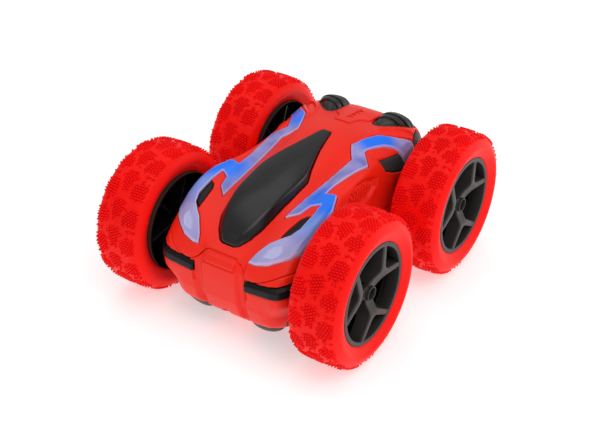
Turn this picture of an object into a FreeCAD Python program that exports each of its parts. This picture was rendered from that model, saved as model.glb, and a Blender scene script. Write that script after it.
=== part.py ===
"""Double-sided radio-controlled stunt car, one STEP file per sub-part.

Axes: +X to the nose, +Y to the car's left, +Z up; the origin is on the ground, under the middle.
The lower half of the body is the upper half turned 180 degrees about the lateral axis through the
wheel centres, so that the car looks the same either way up. Each side has its own motor, which
drives the front and the rear wheel through one gear train.
"""
import FreeCAD, Part
import math
import os

V = FreeCAD.Vector
X_AXIS, Y_AXIS = V(1, 0, 0), V(0, 1, 0)

# ---- driving dimensions, mm ----
WHEEL_RADIUS = 37.5            # over the tread studs
WHEELBASE = 88.5
AXLE_X = WHEELBASE / 2
AXIS_Z = WHEEL_RADIUS          # height of the wheel centres, and of the plane where the shells meet
OVERALL_WIDTH = 140.2
TYRE_WIDTH = 29.2
TYRE_OUT = OVERALL_WIDTH / 2
TYRE_IN = TYRE_OUT - TYRE_WIDTH
SHOULDER = (6.9, 11.8)         # tyre shoulder, across and in radius
RIM_RADIUS = 25.1
RIM_WALL = 1.6
RIM_LIP = 2.2                  # width of the ring on the rim's face
RIM_RECESS = 3.2               # rim face, in from the tyre's side
SPOKES = 3
FIRST_SPOKE = 143.0            # degrees, from the nose upwards
FORK_RADIUS, FORK_SPREAD = 10.8, 30.0  # where a spoke divides, and each branch's angle at the lip
SPOKE_DEPTH = 7.0
HUB_RADIUS = 5.0
SCREW_WELL_RADIUS = 3.0        # in the hub's face

BODY_HALF_LENGTH = 73.0
BODY_HALF_WIDTH = 36.6
WAIST_HALF_WIDTH = 33.0        # between the wheels
WALL = 1.8
PAD_HALF_WIDTH = 10.0          # centre pad of the hood's lip
LIP_X = 60.0                   # where the stepped joint between the shells starts
LIP_Z = 48.0                   # hood's lip at the centre pad
SIDE_LIP_Z = 41.0              # hood's lip over the bumper strips

AXLE_RADIUS = 1.5
PIN_RADIUS = 1.0
RUNNING = 0.05                 # radial clearance of a shaft in its bush or gear
AXLE_END = 62.6

MODULE = 0.75                  # all gears
TEETH_AXLE, TEETH_IDLER, TEETH_DRIVE = 40, 24, 30
TEETH_CROWN, TEETH_PINION = 44, 10
BACKLASH = 0.05                        # taken off each tooth flank
GEAR_IN, GEAR_OUT = 24.0, 28.0         # the train's gears, across the car
CROWN_IN, CROWN_OUT = 20.2, 23.4       # the drive gear's large wheel
PLATE_IN, PLATE_OUT = 17.0, 19.0       # the frame's side plates
COVER_IN, COVER_OUT = 28.6, 30.0       # gearbox covers
BOSS_OUT = 39.6                        # end of the covers' axle tubes
MOTOR_ANGLE = 30.0                     # of the motor from the drive gear, above level

IDLER_X = MODULE * (TEETH_DRIVE + TEETH_IDLER) / 2
MOTOR_REACH = MODULE * (TEETH_CROWN + TEETH_PINION) / 2
MOTOR_X = MOTOR_REACH * math.cos(math.radians(MOTOR_ANGLE))
MOTOR_Z = AXIS_Z + MOTOR_REACH * math.sin(math.radians(MOTOR_ANGLE))

# Roof lines of the upper shell: the height at each station, along lines at fixed offsets from the
# middle of the car. The roof is the smooth surface through them.
STATIONS = (76, 68, 62, 55, 47, 38, 28, 16, 4, -12, -24, -36, -48, -56, -64, -70, -76)
ROOF_LINES = {
    0.0: (44.5, 48.4, 51.0, 54.5, 58.0, 61.4, 64.0, 66.5, 69.5,
          71.0, 71.2, 70.2, 68.2, 66.6, 62.4, 58.0, 52.0),
    13.0: (44.5, 48.2, 52.0, 55.6, 58.6, 61.3, 63.4, 65.4, 67.6,
           69.2, 70.0, 69.2, 67.4, 65.8, 62.2, 58.0, 52.0),
    18.5: (44.0, 48.0, 53.6, 57.2, 59.4, 61.0, 61.6, 62.4, 63.6,
           66.0, 68.9, 69.1, 67.2, 65.6, 62.0, 58.0, 52.0),
    25.0: (42.5, 47.0, 53.4, 58.0, 60.0, 61.6, 63.0, 64.0, 64.4,
           65.2, 67.0, 67.8, 67.2, 65.4, 61.6, 57.4, 51.5),
    31.0: (40.0, 45.5, 51.0, 56.8, 60.4, 62.4, 63.8, 64.0, 62.4,
           62.0, 62.8, 64.0, 64.6, 63.4, 60.0, 55.8, 50.0),
    36.0: (36.0, 42.5, 47.5, 53.0, 59.0, 62.6, 62.8, 59.5, 56.0,
           54.0, 55.0, 57.0, 58.8, 58.2, 55.0, 51.0, 46.0),
    41.0: (30.0, 36.0, 41.0, 46.0, 52.0, 56.0, 56.0, 52.0, 48.0,
           46.0, 46.0, 48.0, 50.0, 50.0, 48.0, 44.0, 40.0),
}

# Outlines seen from above, for the car's left side
CANOPY = [(64.2, 5.4), (58.8, 9.5), (52.6, 11.6), (44.3, 12.8), (31.0, 13.6), (17.5, 13.6),
          (10.8, 11.0), (-4.0, 6.6), (-20.6, 2.8)]
STRIP = [(43.3, 17.4), (30.6, 17.8), (14.9, 18.6), (-11.1, 20.3), (-13.5, 18.4), (-18.4, 15.3),
         (-26.5, 18.1), (-33.8, 21.2), (-38.0, 25.7), (-42.0, 29.3), (-48.0, 33.0), (-48.6, 34.6),
         (-38.0, 34.6), (-34.6, 31.0), (-30.0, 27.6), (-24.5, 25.0), (-19.3, 22.8), (-16.1, 25.7),
         (-12.9, 28.9), (-3.2, 26.9), (11.9, 25.2), (19.5, 25.3), (18.6, 30.9), (30.0, 35.6),
         (39.4, 35.8), (47.0, 35.6), (55.4, 34.4), (59.6, 32.1), (62.9, 28.9), (66.4, 23.2),
         (68.2, 13.4), (63.9, 15.7), (58.1, 20.2), (55.2, 23.6), (51.9, 26.8), (46.6, 28.7),
         (36.2, 28.9), (28.8, 28.1), (31.1, 24.3), (37.9, 22.8)]
WINDOW = [(54.6, 23.3), (47.9, 24.0), (41.2, 25.0), (38.4, 26.4), (37.2, 28.7), (46.4, 28.5),
          (51.7, 26.6)]
HATCH = [(-34.4, 4.3), (-42.3, 6.2), (-46.2, 8.4), (-61.9, 8.4)]
KNOB = [(-43.2, 64.0), (-43.4, 66.2), (-47.5, 68.7), (-53.0, 70.1), (-58.5, 69.8), (-64.0, 67.4),
        (-69.0, 63.2), (-72.4, 57.6), (-71.0, 54.0), (-67.0, 54.0), (-54.0, 60.5)]   # side view
KNOB_SPAN = (9.2, 27.0)
KNOB_GAP = 0.3                 # around each hump, across the car
KNOB_FRONT, KNOB_LOW = -42.9, 53.8     # ends of the room cut for it in the shell
FENDER_INSERT = [(-25.6, 59.6), (-33.7, 50.8), (-45.0, 51.5), (-45.0, 56.4), (-38.0, 58.0),
                 (-33.0, 60.2)]                                                      # side view
CANOPY_CREST = [(64.2, 50.9), (60.0, 57.0), (44.0, 65.6), (28.0, 68.9), (12.0, 70.6),
                (-4.0, 71.5), (-20.6, 71.7)]                                         # side view
CANOPY_TOP_HALF = [(64.2, 5.2), (60.0, 5.8), (44.0, 10.2), (28.0, 11.4), (10.8, 10.6),
                   (-4.0, 6.4), (-20.6, 2.7)]

# Inside the body
HOUSING_HALF = 18.8            # gear housings, half height
HOUSING_WALL = 1.2
FRAME_THICKNESS = 2.0
FRAME_HALF_LENGTH = 69.0
BATTERY_X, BATTERY_LENGTH, CELL_RADIUS = 4.0, 50.0, 7.1
BATTERY_Z = 25.0
MOTOR_RADIUS, MOTOR_FLAT, MOTOR_LENGTH = 10.0, 7.5, 25.0
BOARD_X, BOARD_LENGTH, BOARD_HALF_WIDTH, BOARD_Z = -56.0, 38.0, 15.0, 30.0
SCREW_POSTS = [(65.2, 0.0), (-65.2, 0.0), (-2.0, 13.0), (-2.0, -13.0)]
SCREW_SEAT_Z, SCREW_TOP_Z = 30.0, 44.0
POST_RADIUS, WELL_RADIUS = 3.0, 2.7
SCREW_RADIUS, SCREW_HEAD_RADIUS = 1.15, 2.4
SWITCH_X, SOCKET_Y = 27.0, 12.0
BUSH_RADIUS = 2.5
BOSS_RADIUS = 4.5


# ---- small helpers ----
def box(x0, x1, y0, y1, z0, z1):
    return Part.makeBox(x1 - x0, y1 - y0, z1 - z0, V(x0, y0, z0))


def rod(x, z, radius, y0, y1):
    """A cylinder along Y."""
    return Part.makeCylinder(radius, y1 - y0, V(x, y0, z), Y_AXIS)


def post(x, y, radius, z0, z1):
    return Part.makeCylinder(radius, z1 - z0, V(x, y, z0))


def mirrored(shape):
    """The same piece on the car's right side."""
    return shape.mirror(V(0, 0, 0), Y_AXIS)


def turned(shape):
    """The same piece on the lower half: turned 180 degrees about the lateral axis."""
    copy = shape.copy()
    copy.rotate(V(0, 0, AXIS_Z), Y_AXIS, 180)
    return copy


def prism_up(outline, z0=AXIS_Z, z1=90.0):
    points = [V(x, y, z0) for x, y in outline]
    return Part.Face(Part.makePolygon(points + points[:1])).extrude(V(0, 0, z1 - z0))


def prism_across(outline, y0, y1):
    points = [V(x, y0, z) for x, z in outline]
    return Part.Face(Part.makePolygon(points + points[:1])).extrude(V(0, y1 - y0, 0))


def both_sides(outline):
    """Close a left-hand outline that starts and ends beside the centre line."""
    return outline + [(x, -y) for x, y in reversed(outline)]


def group(shapes):
    return Part.makeCompound(shapes)


def only_solids(shape):
    """The solids of a boolean result, without loose faces and slivers."""
    solids = [s for s in shape.Solids if s.Volume > 0.5]
    return solids[0] if len(solids) == 1 else Part.makeCompound(solids)


def save(name, shape):
    shape.exportStep("parts/" + name + ".step")


# ---- body surfaces ----
def smooth_through(xs, values, x):
    """Cubic curve through the given stations, with finite-difference slopes."""
    if (xs[0] - xs[-1]) > 0:
        xs, values = xs[::-1], values[::-1]
    x = min(max(x, xs[0]), xs[-1])
    i = max(0, min(len(xs) - 2, sum(1 for station in xs if station <= x) - 1))
    slopes = []
    for j in (i, i + 1):
        low, high = max(j - 1, 0), min(j + 1, len(xs) - 1)
        slopes.append((values[high] - values[low]) / (xs[high] - xs[low]))
    h = xs[i + 1] - xs[i]
    t = (x - xs[i]) / h
    return ((2 * t**3 - 3 * t**2 + 1) * values[i] + (t**3 - 2 * t**2 + t) * h * slopes[0]
            + (3 * t**2 - 2 * t**3) * values[i + 1] + (t**3 - t**2) * h * slopes[1])


def roof_height(x, y):
    offsets = sorted(ROOF_LINES)
    heights = [smooth_through(STATIONS, ROOF_LINES[offset], x) for offset in offsets]
    whole_offsets = [-offset for offset in reversed(offsets[1:])] + offsets
    return smooth_through(whole_offsets, heights[:0:-1] + heights, y)


def roof_face(raised=0.0):
    grid = [[V(x, y, roof_height(x, y) + raised) for y in range(-40, 41, 4)]
            for x in range(-76, 77, 4)]
    surface = Part.BSplineSurface()
    surface.interpolate(grid)
    return surface.toShape()


def under_roof(raised=0.0):
    return roof_face(raised).extrude(V(0, 0, -60))


def plan_face(inset=0.0):
    """The body's outline from above: straight ends, round corners and a waist between the wheels."""
    end, side = BODY_HALF_LENGTH - inset, BODY_HALF_WIDTH - inset
    waist = WAIST_HALF_WIDTH - inset
    quarter = [(end, 0), (end, 29), (end - 1.6, side - 4), (end - 5.5, side - 1.2), (end - 11, side),
               (25, side), (15, waist), (0, waist)]
    half = quarter + [(-x, y) for x, y in reversed(quarter[:-1])]
    outline = half + [(x, -y) for x, y in reversed(half[1:-1])]
    points = [V(x, y, AXIS_Z) for x, y in outline]
    return Part.Face(Part.makePolygon(points + points[:1]))


def side_outline(inset=0.0):
    """The upper half's limits in side view: blunt nose at the front, sloping tail."""
    return [(BODY_HALF_LENGTH - inset, AXIS_Z), (BODY_HALF_LENGTH - inset, 42.0 - inset),
            (70.6 - inset, LIP_Z - inset), (66.0, 80.0), (-62.0, 80.0), (-65.6 + inset, 61.6 - inset),
            (-71.0 + inset, 50.0), (-BODY_HALF_LENGTH + inset, 41.0), (-BODY_HALF_LENGTH + inset, AXIS_Z)]


def upper_solid(inset=0.0):
    column = plan_face(inset).extrude(V(0, 0, 45))
    profile = prism_across(side_outline(inset), -45, 45)
    return column.common(profile).common(under_roof(-inset))


def upper_region():
    """What belongs to the upper shell: above the axles, with the stepped lip at each end."""
    region = box(-90, 90, -60, 60, AXIS_Z, 90)
    low_lip, low_side = 2 * AXIS_Z - LIP_Z, 2 * AXIS_Z - SIDE_LIP_Z
    region = region.cut(box(LIP_X, 90, -60, 60, 0, SIDE_LIP_Z))
    region = region.cut(box(LIP_X, 90, -PAD_HALF_WIDTH, PAD_HALF_WIDTH, 0, LIP_Z))
    region = region.fuse(box(-90, -LIP_X, -60, 60, low_side, AXIS_Z))
    return region.fuse(box(-90, -LIP_X, -PAD_HALF_WIDTH, PAD_HALF_WIDTH, low_lip, AXIS_Z))


def raw_upper_shell():
    skin = upper_solid().cut(upper_solid(WALL))
    whole = skin.fuse(turned(skin))
    return only_solids(whole.common(upper_region()))


def canopy_block():
    """The raised canopy: a crested prism with leaning sides, closed below the roof."""
    stations = [x for x, _ in CANOPY_CREST]
    crest = [z for _, z in CANOPY_CREST]
    halves = [half for _, half in CANOPY_TOP_HALF]
    edge_x, edge_y = [x for x, _ in CANOPY], [y for _, y in CANOPY]
    wires = []
    for x in stations:
        z_top, top_half = smooth_through(stations, crest, x), smooth_through(stations, halves, x)
        edge = smooth_through(edge_x, edge_y, x)
        z_edge = roof_height(x, edge) - 0.2
        z_low = min(z_edge, z_top) - WALL
        section = [V(x, edge, z_low), V(x, edge, z_edge), V(x, min(top_half, edge - 0.1), z_top),
                   V(x, -min(top_half, edge - 0.1), z_top), V(x, -edge, z_edge), V(x, -edge, z_low)]
        wires.append(Part.makePolygon(section + section[:1]))
    return Part.makeLoft(wires, True, True)


def body_pieces():
    """The upper half's skin, divided into the shell and the pieces set into it."""
    skin = raw_upper_shell()
    pieces = {}
    pieces["canopy"] = canopy_block()
    skin = skin.cut(prism_up(both_sides(CANOPY), 40))
    hatch = prism_up(both_sides(HATCH), 52)
    pieces["hatch"] = only_solids(skin.common(hatch))
    skin = skin.cut(hatch)
    knob = prism_across(KNOB, *KNOB_SPAN)
    knob_room = box(-80, KNOB_FRONT, KNOB_SPAN[0] - KNOB_GAP, KNOB_SPAN[1] + KNOB_GAP, KNOB_LOW, 90)
    pieces["exhaust_humps"] = group([knob, mirrored(knob)])
    for room in (knob_room, mirrored(knob_room)):
        skin = skin.cut(room)
    strip = prism_up(STRIP, 46)
    window = prism_up(WINDOW, 46)
    insert = prism_across(FENDER_INSERT, 24, 40)
    pieces["light_strip_left"] = only_solids(skin.common(strip))
    pieces["light_strip_right"] = mirrored(pieces["light_strip_left"])
    for cutter in (strip, mirrored(strip)):
        skin = skin.cut(cutter)
    windows = only_solids(skin.common(window))
    pieces["windows"] = group([windows, mirrored(windows)])
    inserts = only_solids(skin.common(insert))
    pieces["fender_inserts"] = group([inserts, mirrored(inserts)])
    for cutter in (window, mirrored(window), insert, mirrored(insert)):
        skin = skin.cut(cutter)
    strip_back = box(-80, -58, 14.5, 40, 2 * AXIS_Z - SIDE_LIP_Z + 0.2, SIDE_LIP_Z - 0.4)
    strips = only_solids(skin.common(strip_back))
    pieces["bumper_strips"] = group([strips, mirrored(strips)])
    skin = skin.cut(strip_back).cut(mirrored(strip_back))
    pieces["shell"] = skin
    return pieces


# ---- gears ----
def gear_outline(teeth, x, z, phase, y):
    """Involute spur gear in the plane at y; phase is the direction of one tooth's middle."""
    pitch = MODULE * teeth / 2
    base, tip, root = pitch * math.cos(math.radians(20)), pitch + 0.95 * MODULE, pitch - 1.2 * MODULE

    def involute(r):
        return math.sqrt(max(r * r / (base * base) - 1, 0)) - math.acos(min(base / r, 1))

    half_at_pitch = math.pi / (2 * teeth) - BACKLASH / pitch
    start = max(base, root)
    radii = [start + (tip - start) * i / 4 for i in range(5)]
    flank = [(r, half_at_pitch + involute(pitch) - involute(r)) for r in radii]
    if root < base:
        flank = [(root, flank[0][1])] + flank
    points = []
    for tooth in range(teeth):
        middle = phase + 2 * math.pi * tooth / teeth
        for r, half in flank:
            points.append(V(x + r * math.cos(middle - half), y, z + r * math.sin(middle - half)))
        for r, half in reversed(flank):
            points.append(V(x + r * math.cos(middle + half), y, z + r * math.sin(middle + half)))
    return points + points[:1]


def gear(teeth, x, z, phase, y0, y1):
    return Part.Face(Part.makePolygon(gear_outline(teeth, x, z, phase, y0))).extrude(V(0, y1 - y0, 0))


def meshed_phase(teeth, phase, x, z, next_teeth, next_x, next_z):
    """Phase of the next gear, so that its gap meets the tooth of the one before."""
    towards = math.atan2(next_z - z, next_x - x)
    turn = ((towards - phase) * teeth / (2 * math.pi)) % 1.0
    return towards + math.pi - (2 * math.pi / next_teeth) * (0.5 - turn)


def gear_train(motor_x):
    """Left-hand train; returns the shapes of its gears at rest."""
    phase = 0.0
    drive = gear(TEETH_DRIVE, 0, AXIS_Z, phase, GEAR_IN, GEAR_OUT)
    drive = drive.fuse(gear(TEETH_CROWN, 0, AXIS_Z, phase, CROWN_IN, CROWN_OUT))
    drive = drive.fuse(rod(0, AXIS_Z, 5.0, PLATE_OUT + 0.4, GEAR_IN))
    drive = drive.cut(rod(0, AXIS_Z, PIN_RADIUS + RUNNING, 0, 60))
    train = {"drive_gear": drive}
    for end, sign in (("front", 1), ("rear", -1)):
        idler_x, axle_x = sign * IDLER_X, sign * AXLE_X
        idler_phase = meshed_phase(TEETH_DRIVE, phase, 0, AXIS_Z, TEETH_IDLER, idler_x, AXIS_Z)
        idler = gear(TEETH_IDLER, idler_x, AXIS_Z, idler_phase, GEAR_IN, GEAR_OUT)
        idler = idler.fuse(rod(idler_x, AXIS_Z, 2.4, PLATE_OUT + 0.4, GEAR_IN))
        train["idler_gear_" + end] = idler.cut(rod(idler_x, AXIS_Z, PIN_RADIUS + RUNNING, 0, 60))
        axle_phase = meshed_phase(TEETH_IDLER, idler_phase, idler_x, AXIS_Z, TEETH_AXLE, axle_x, AXIS_Z)
        wheel = gear(TEETH_AXLE, axle_x, AXIS_Z, axle_phase, GEAR_IN, GEAR_OUT)
        wheel = wheel.fuse(rod(axle_x, AXIS_Z, 4.0, PLATE_OUT + 0.4, GEAR_IN))
        for i in range(6):
            angle = 2 * math.pi * i / 6
            wheel = wheel.cut(rod(axle_x + 8.8 * math.cos(angle), AXIS_Z + 8.8 * math.sin(angle),
                                  2.6, GEAR_IN - 1, GEAR_OUT + 1))
        train["axle_gear_" + end] = wheel.cut(rod(axle_x, AXIS_Z, AXLE_RADIUS, 0, 60))
    pinion_phase = meshed_phase(TEETH_CROWN, phase, 0, AXIS_Z, TEETH_PINION, motor_x, MOTOR_Z)
    pinion = gear(TEETH_PINION, motor_x, MOTOR_Z, pinion_phase, PLATE_OUT + 0.6, CROWN_OUT + 0.2)
    train["motor_pinion"] = pinion.fuse(rod(motor_x, MOTOR_Z, PIN_RADIUS, -4.0, CROWN_OUT + 0.2))
    return train


# ---- wheels ----
def tyre(x):
    """A tyre open towards its rim, with round shoulders, on the car's left."""
    across, deep = SHOULDER
    middle = (TYRE_IN + TYRE_OUT) / 2
    half = TYRE_WIDTH / 2
    outer = []
    for step in range(0, 19):
        angle = math.pi / 2 * step / 18
        outer.append((middle + half - across + across * math.cos(angle),
                      WHEEL_RADIUS - deep + deep * math.sin(angle)))
    right = [(2 * middle - y, r) for y, r in reversed(outer)]
    cavity = [(TYRE_IN + 3.2, RIM_RADIUS), (TYRE_IN + 4.6, 29.0), (TYRE_IN + 8.5, 33.4),
              (TYRE_OUT - 8.5, 33.4), (TYRE_OUT - 4.6, 29.0), (TYRE_OUT - 3.2, RIM_RADIUS)]
    section = [(TYRE_OUT, RIM_RADIUS)] + outer + right + [(TYRE_IN, RIM_RADIUS)] + cavity
    points = [V(x, y, AXIS_Z + r) for y, r in section]
    return Part.Face(Part.makePolygon(points + points[:1])).revolve(V(x, 0, AXIS_Z), Y_AXIS, 360)


def spoke_bar(x, start, end, width, y0, y1):
    """A straight bar in the wheel's plane between two (radius, angle) points."""
    (r0, a0), (r1, a1) = start, end
    p0 = V(x + r0 * math.cos(a0), y0, AXIS_Z + r0 * math.sin(a0))
    p1 = V(x + r1 * math.cos(a1), y0, AXIS_Z + r1 * math.sin(a1))
    along = (p1 - p0).normalize()
    across = along.cross(Y_AXIS).multiply(width / 2)
    points = [p0 + across, p1 + across, p1 - across, p0 - across]
    return Part.Face(Part.makePolygon(points + points[:1])).extrude(V(0, y1 - y0, 0))


def rim(x):
    """Barrel with a face ring, a hub and three forked spokes, on the car's left."""
    face, back = TYRE_OUT - RIM_RECESS, TYRE_IN + 1.0
    inner = RIM_RADIUS - RIM_LIP
    body = rod(x, AXIS_Z, RIM_RADIUS, back, face).cut(rod(x, AXIS_Z, RIM_RADIUS - RIM_WALL, 0, 90))
    ring = rod(x, AXIS_Z, RIM_RADIUS - 0.5, face - 2.0, face).cut(rod(x, AXIS_Z, inner, 0, 90))
    body = body.fuse([ring, rod(x, AXIS_Z, HUB_RADIUS, back, face - 0.9)])
    for i in range(SPOKES):
        middle = math.radians(FIRST_SPOKE + 360.0 * i / SPOKES)
        bars = [spoke_bar(x, (3.0, middle), (FORK_RADIUS + 2.0, middle), 5.4, face - SPOKE_DEPTH, face)]
        for side in (-1, 1):
            end = (RIM_RADIUS - 1.0, middle + side * math.radians(FORK_SPREAD))
            bars.append(spoke_bar(x, (FORK_RADIUS, middle), end, 3.0, face - SPOKE_DEPTH, face))
        body = body.fuse(bars)
    body = body.cut(rod(x, AXIS_Z, AXLE_RADIUS, 0, 90))
    return body.cut(rod(x, AXIS_Z, SCREW_WELL_RADIUS, AXLE_END, 90)).removeSplitter()


def axle(x):
    shaft = rod(x, AXIS_Z, AXLE_RADIUS, PLATE_IN - 0.8, AXLE_END)
    return shaft.cut(rod(x, AXIS_Z, PIN_RADIUS, AXLE_END - 8, AXLE_END + 1))


def wheel_screw(x):
    head = rod(x, AXIS_Z, 2.7, AXLE_END, AXLE_END + 1.8)
    slots = [box(x - 1.6, x + 1.6, AXLE_END + 0.9, 90, AXIS_Z - 0.35, AXIS_Z + 0.35),
             box(x - 0.35, x + 0.35, AXLE_END + 0.9, 90, AXIS_Z - 1.6, AXIS_Z + 1.6)]
    return head.fuse(rod(x, AXIS_Z, PIN_RADIUS, AXLE_END - 8, AXLE_END)).cut(slots[0]).cut(slots[1])


# ---- inside the body ----
def housing_outline(inset, y0, y1):
    """Round-ended block around one side's gears."""
    half = HOUSING_HALF - inset
    shape = box(-AXLE_X, AXLE_X, y0, y1, AXIS_Z - half, AXIS_Z + half)
    return shape.fuse([rod(AXLE_X, AXIS_Z, half, y0, y1), rod(-AXLE_X, AXIS_Z, half, y0, y1)])


def pin_places():
    return (-IDLER_X, 0.0, IDLER_X)


def gearbox_cover():
    cover = housing_outline(0, COVER_IN, COVER_OUT)
    rim_wall = housing_outline(0, PLATE_OUT, COVER_IN).cut(housing_outline(HOUSING_WALL, 0, 60))
    cover = cover.fuse(rim_wall)
    for x in (AXLE_X, -AXLE_X):
        cover = cover.fuse(rod(x, AXIS_Z, BOSS_RADIUS, COVER_IN, BOSS_OUT))
    for x in (AXLE_X, -AXLE_X):
        cover = cover.cut(rod(x, AXIS_Z, BUSH_RADIUS, 0, 60))
    for x in pin_places():
        cover = cover.cut(rod(x, AXIS_Z, PIN_RADIUS, 0, 60))
    return cover.removeSplitter()


def side_plate(motor_x):
    """The frame's wall on the left, with the bush, pin and motor holes."""
    plate = housing_outline(0, PLATE_IN, PLATE_OUT)
    for x in (AXLE_X, -AXLE_X):
        plate = plate.cut(rod(x, AXIS_Z, BUSH_RADIUS, 0, 60))
    for x in pin_places():
        plate = plate.cut(rod(x, AXIS_Z, PIN_RADIUS, 0, 60))
    return plate.cut(rod(motor_x, MOTOR_Z, 3.1, 0, 60))


def frame():
    half = FRAME_THICKNESS / 2
    low, high = AXIS_Z - half, AXIS_Z + half
    plate = box(-FRAME_HALF_LENGTH, FRAME_HALF_LENGTH, -PLATE_IN, PLATE_IN, low, high)
    plate = plate.fuse([side_plate(-MOTOR_X), mirrored(side_plate(MOTOR_X))])
    rests = []
    for x, y0, y1 in ((-MOTOR_X, -8.0, PLATE_IN), (MOTOR_X, -PLATE_IN, 8.0)):
        rests.append(box(x - 5, x + 5, y0, y1, high, MOTOR_Z - MOTOR_FLAT))
    for x in (BATTERY_X - 1.6, BATTERY_X + BATTERY_LENGTH + 0.1):
        rests.append(box(x, x + 1.5, -12, 12, BATTERY_Z - 4, low))
    for x in (BOARD_X + 4, BOARD_X + BOARD_LENGTH - 4):
        for y in (-11, 11):
            rests.append(post(x, y, 2.0, BOARD_Z + 1.6, low))
    plate = plate.fuse(rests)
    for x, y in SCREW_POSTS:
        plate = plate.cut(post(x, y, 1.4, 0, 80))
    for x in (AXLE_X, -AXLE_X):
        axle_room = rod(x, AXIS_Z, BUSH_RADIUS + 0.5, PLATE_IN - 1.5, PLATE_IN)
        plate = plate.cut(axle_room).cut(mirrored(axle_room))
    return plate.removeSplitter()


def motor(x, sign):
    """Flat-sided can motor with its shaft hole; sign is the side that its shaft points to."""
    body = rod(x, MOTOR_Z, MOTOR_RADIUS, PLATE_IN - MOTOR_LENGTH, PLATE_IN)
    body = body.common(box(-90, 90, -60, 60, MOTOR_Z - MOTOR_FLAT, MOTOR_Z + MOTOR_FLAT))
    body = body.fuse([rod(x, MOTOR_Z, 3.0, PLATE_IN - 0.5, PLATE_OUT - 0.4),
                      rod(x, MOTOR_Z, 3.0, PLATE_IN - MOTOR_LENGTH - 1.2, PLATE_IN - MOTOR_LENGTH + 0.5)])
    body = body.cut(rod(x, MOTOR_Z, PIN_RADIUS + RUNNING, -5.0, 60))
    return body if sign > 0 else mirrored(body)


def battery_pack():
    offset = CELL_RADIUS + 0.1
    cells = [Part.makeCylinder(CELL_RADIUS, BATTERY_LENGTH, V(BATTERY_X, y, BATTERY_Z), X_AXIS)
             for y in (-offset, offset)]
    web = box(BATTERY_X, BATTERY_X + BATTERY_LENGTH, -offset, offset,
              BATTERY_Z - CELL_RADIUS + 0.6, BATTERY_Z + CELL_RADIUS - 0.6)
    return web.fuse(cells)


def circuit_board():
    x0, x1 = BOARD_X, BOARD_X + BOARD_LENGTH
    board = box(x0, x1, -BOARD_HALF_WIDTH, BOARD_HALF_WIDTH, BOARD_Z, BOARD_Z + 1.6)
    parts = [box(x0 + 8, x0 + 18, -5, 5, BOARD_Z - 1.8, BOARD_Z),
             box(x0 + 22, x0 + 30, -10, -4, BOARD_Z - 1.5, BOARD_Z),
             box(x0 + 22, x0 + 30, 4, 10, BOARD_Z - 1.5, BOARD_Z),
             Part.makeCylinder(2.6, 6.0, V(x0 + 34, 0, BOARD_Z), V(0, 0, -1)),
             box(x0 + 2, x0 + 6, -9, 9, BOARD_Z - 3.5, BOARD_Z)]
    return board.fuse(parts)


def lamp_boards():
    """A small board with one lamp under each front knot of the light strips."""
    board = box(28, 40, 21, 29, 57.0, 58.0).fuse(post(34, 25, 1.5, 58.0, 59.2))
    pair = [board, mirrored(board)]
    return group(pair + [turned(piece) for piece in pair])


def switch_body():
    body = box(SWITCH_X - 5, SWITCH_X + 5, -5, 5, 6.2, 11)
    return body.cut(box(SWITCH_X - 1.6, SWITCH_X + 1.6, -4.0, 4.0, 5, 8.6))


def switch_slider():
    return box(SWITCH_X - 1.4, SWITCH_X + 1.4, -3.7, -0.7, 3.0, 8.4)


def charge_socket():
    body = box(SWITCH_X - 4, SWITCH_X + 4, SOCKET_Y - 2, SOCKET_Y + 2, 5.5, 11.0)
    return body.cut(box(SWITCH_X - 3.3, SWITCH_X + 3.3, SOCKET_Y - 1.2, SOCKET_Y + 1.2, 5, 10))


def screws():
    made = []
    for x, y in SCREW_POSTS:
        screw = post(x, y, SCREW_HEAD_RADIUS, SCREW_SEAT_Z - 1.6, SCREW_SEAT_Z)
        screw = screw.fuse(post(x, y, SCREW_RADIUS, SCREW_SEAT_Z, SCREW_TOP_Z))
        for span_x, span_y in ((1.5, 0.3), (0.3, 1.5)):
            screw = screw.cut(box(x - span_x, x + span_x, y - span_y, y + span_y,
                                  SCREW_SEAT_Z - 2, SCREW_SEAT_Z - 0.8))
        made.append(screw)
    return group(made)


def upper_shell(shell, canopy):
    """The shell with its screw posts, the front post's bulkhead and clearance for the axle tubes."""
    inside = upper_solid(WALL / 2)
    foot = AXIS_Z + FRAME_THICKNESS / 2
    under_lip = LIP_Z - 2.4
    made = [box(61, 63, -14, 14, foot, 80).common(inside).cut(canopy),
            box(62, SCREW_POSTS[0][0], -1.5, 1.5, foot, under_lip)]
    for x, y in SCREW_POSTS:
        top = under_lip if x > LIP_X else 80
        made.append(post(x, y, POST_RADIUS, foot, top).common(inside))
    shell = shell.fuse(made)
    for x, y in SCREW_POSTS:
        shell = shell.cut(post(x, y, SCREW_RADIUS + RUNNING, AXIS_Z, SCREW_TOP_Z + 0.8))
    return with_axle_holes(shell)


def screw_wells():
    return Part.makeCompound([post(x, y, WELL_RADIUS, 0, SCREW_SEAT_Z) for x, y in SCREW_POSTS])


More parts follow.
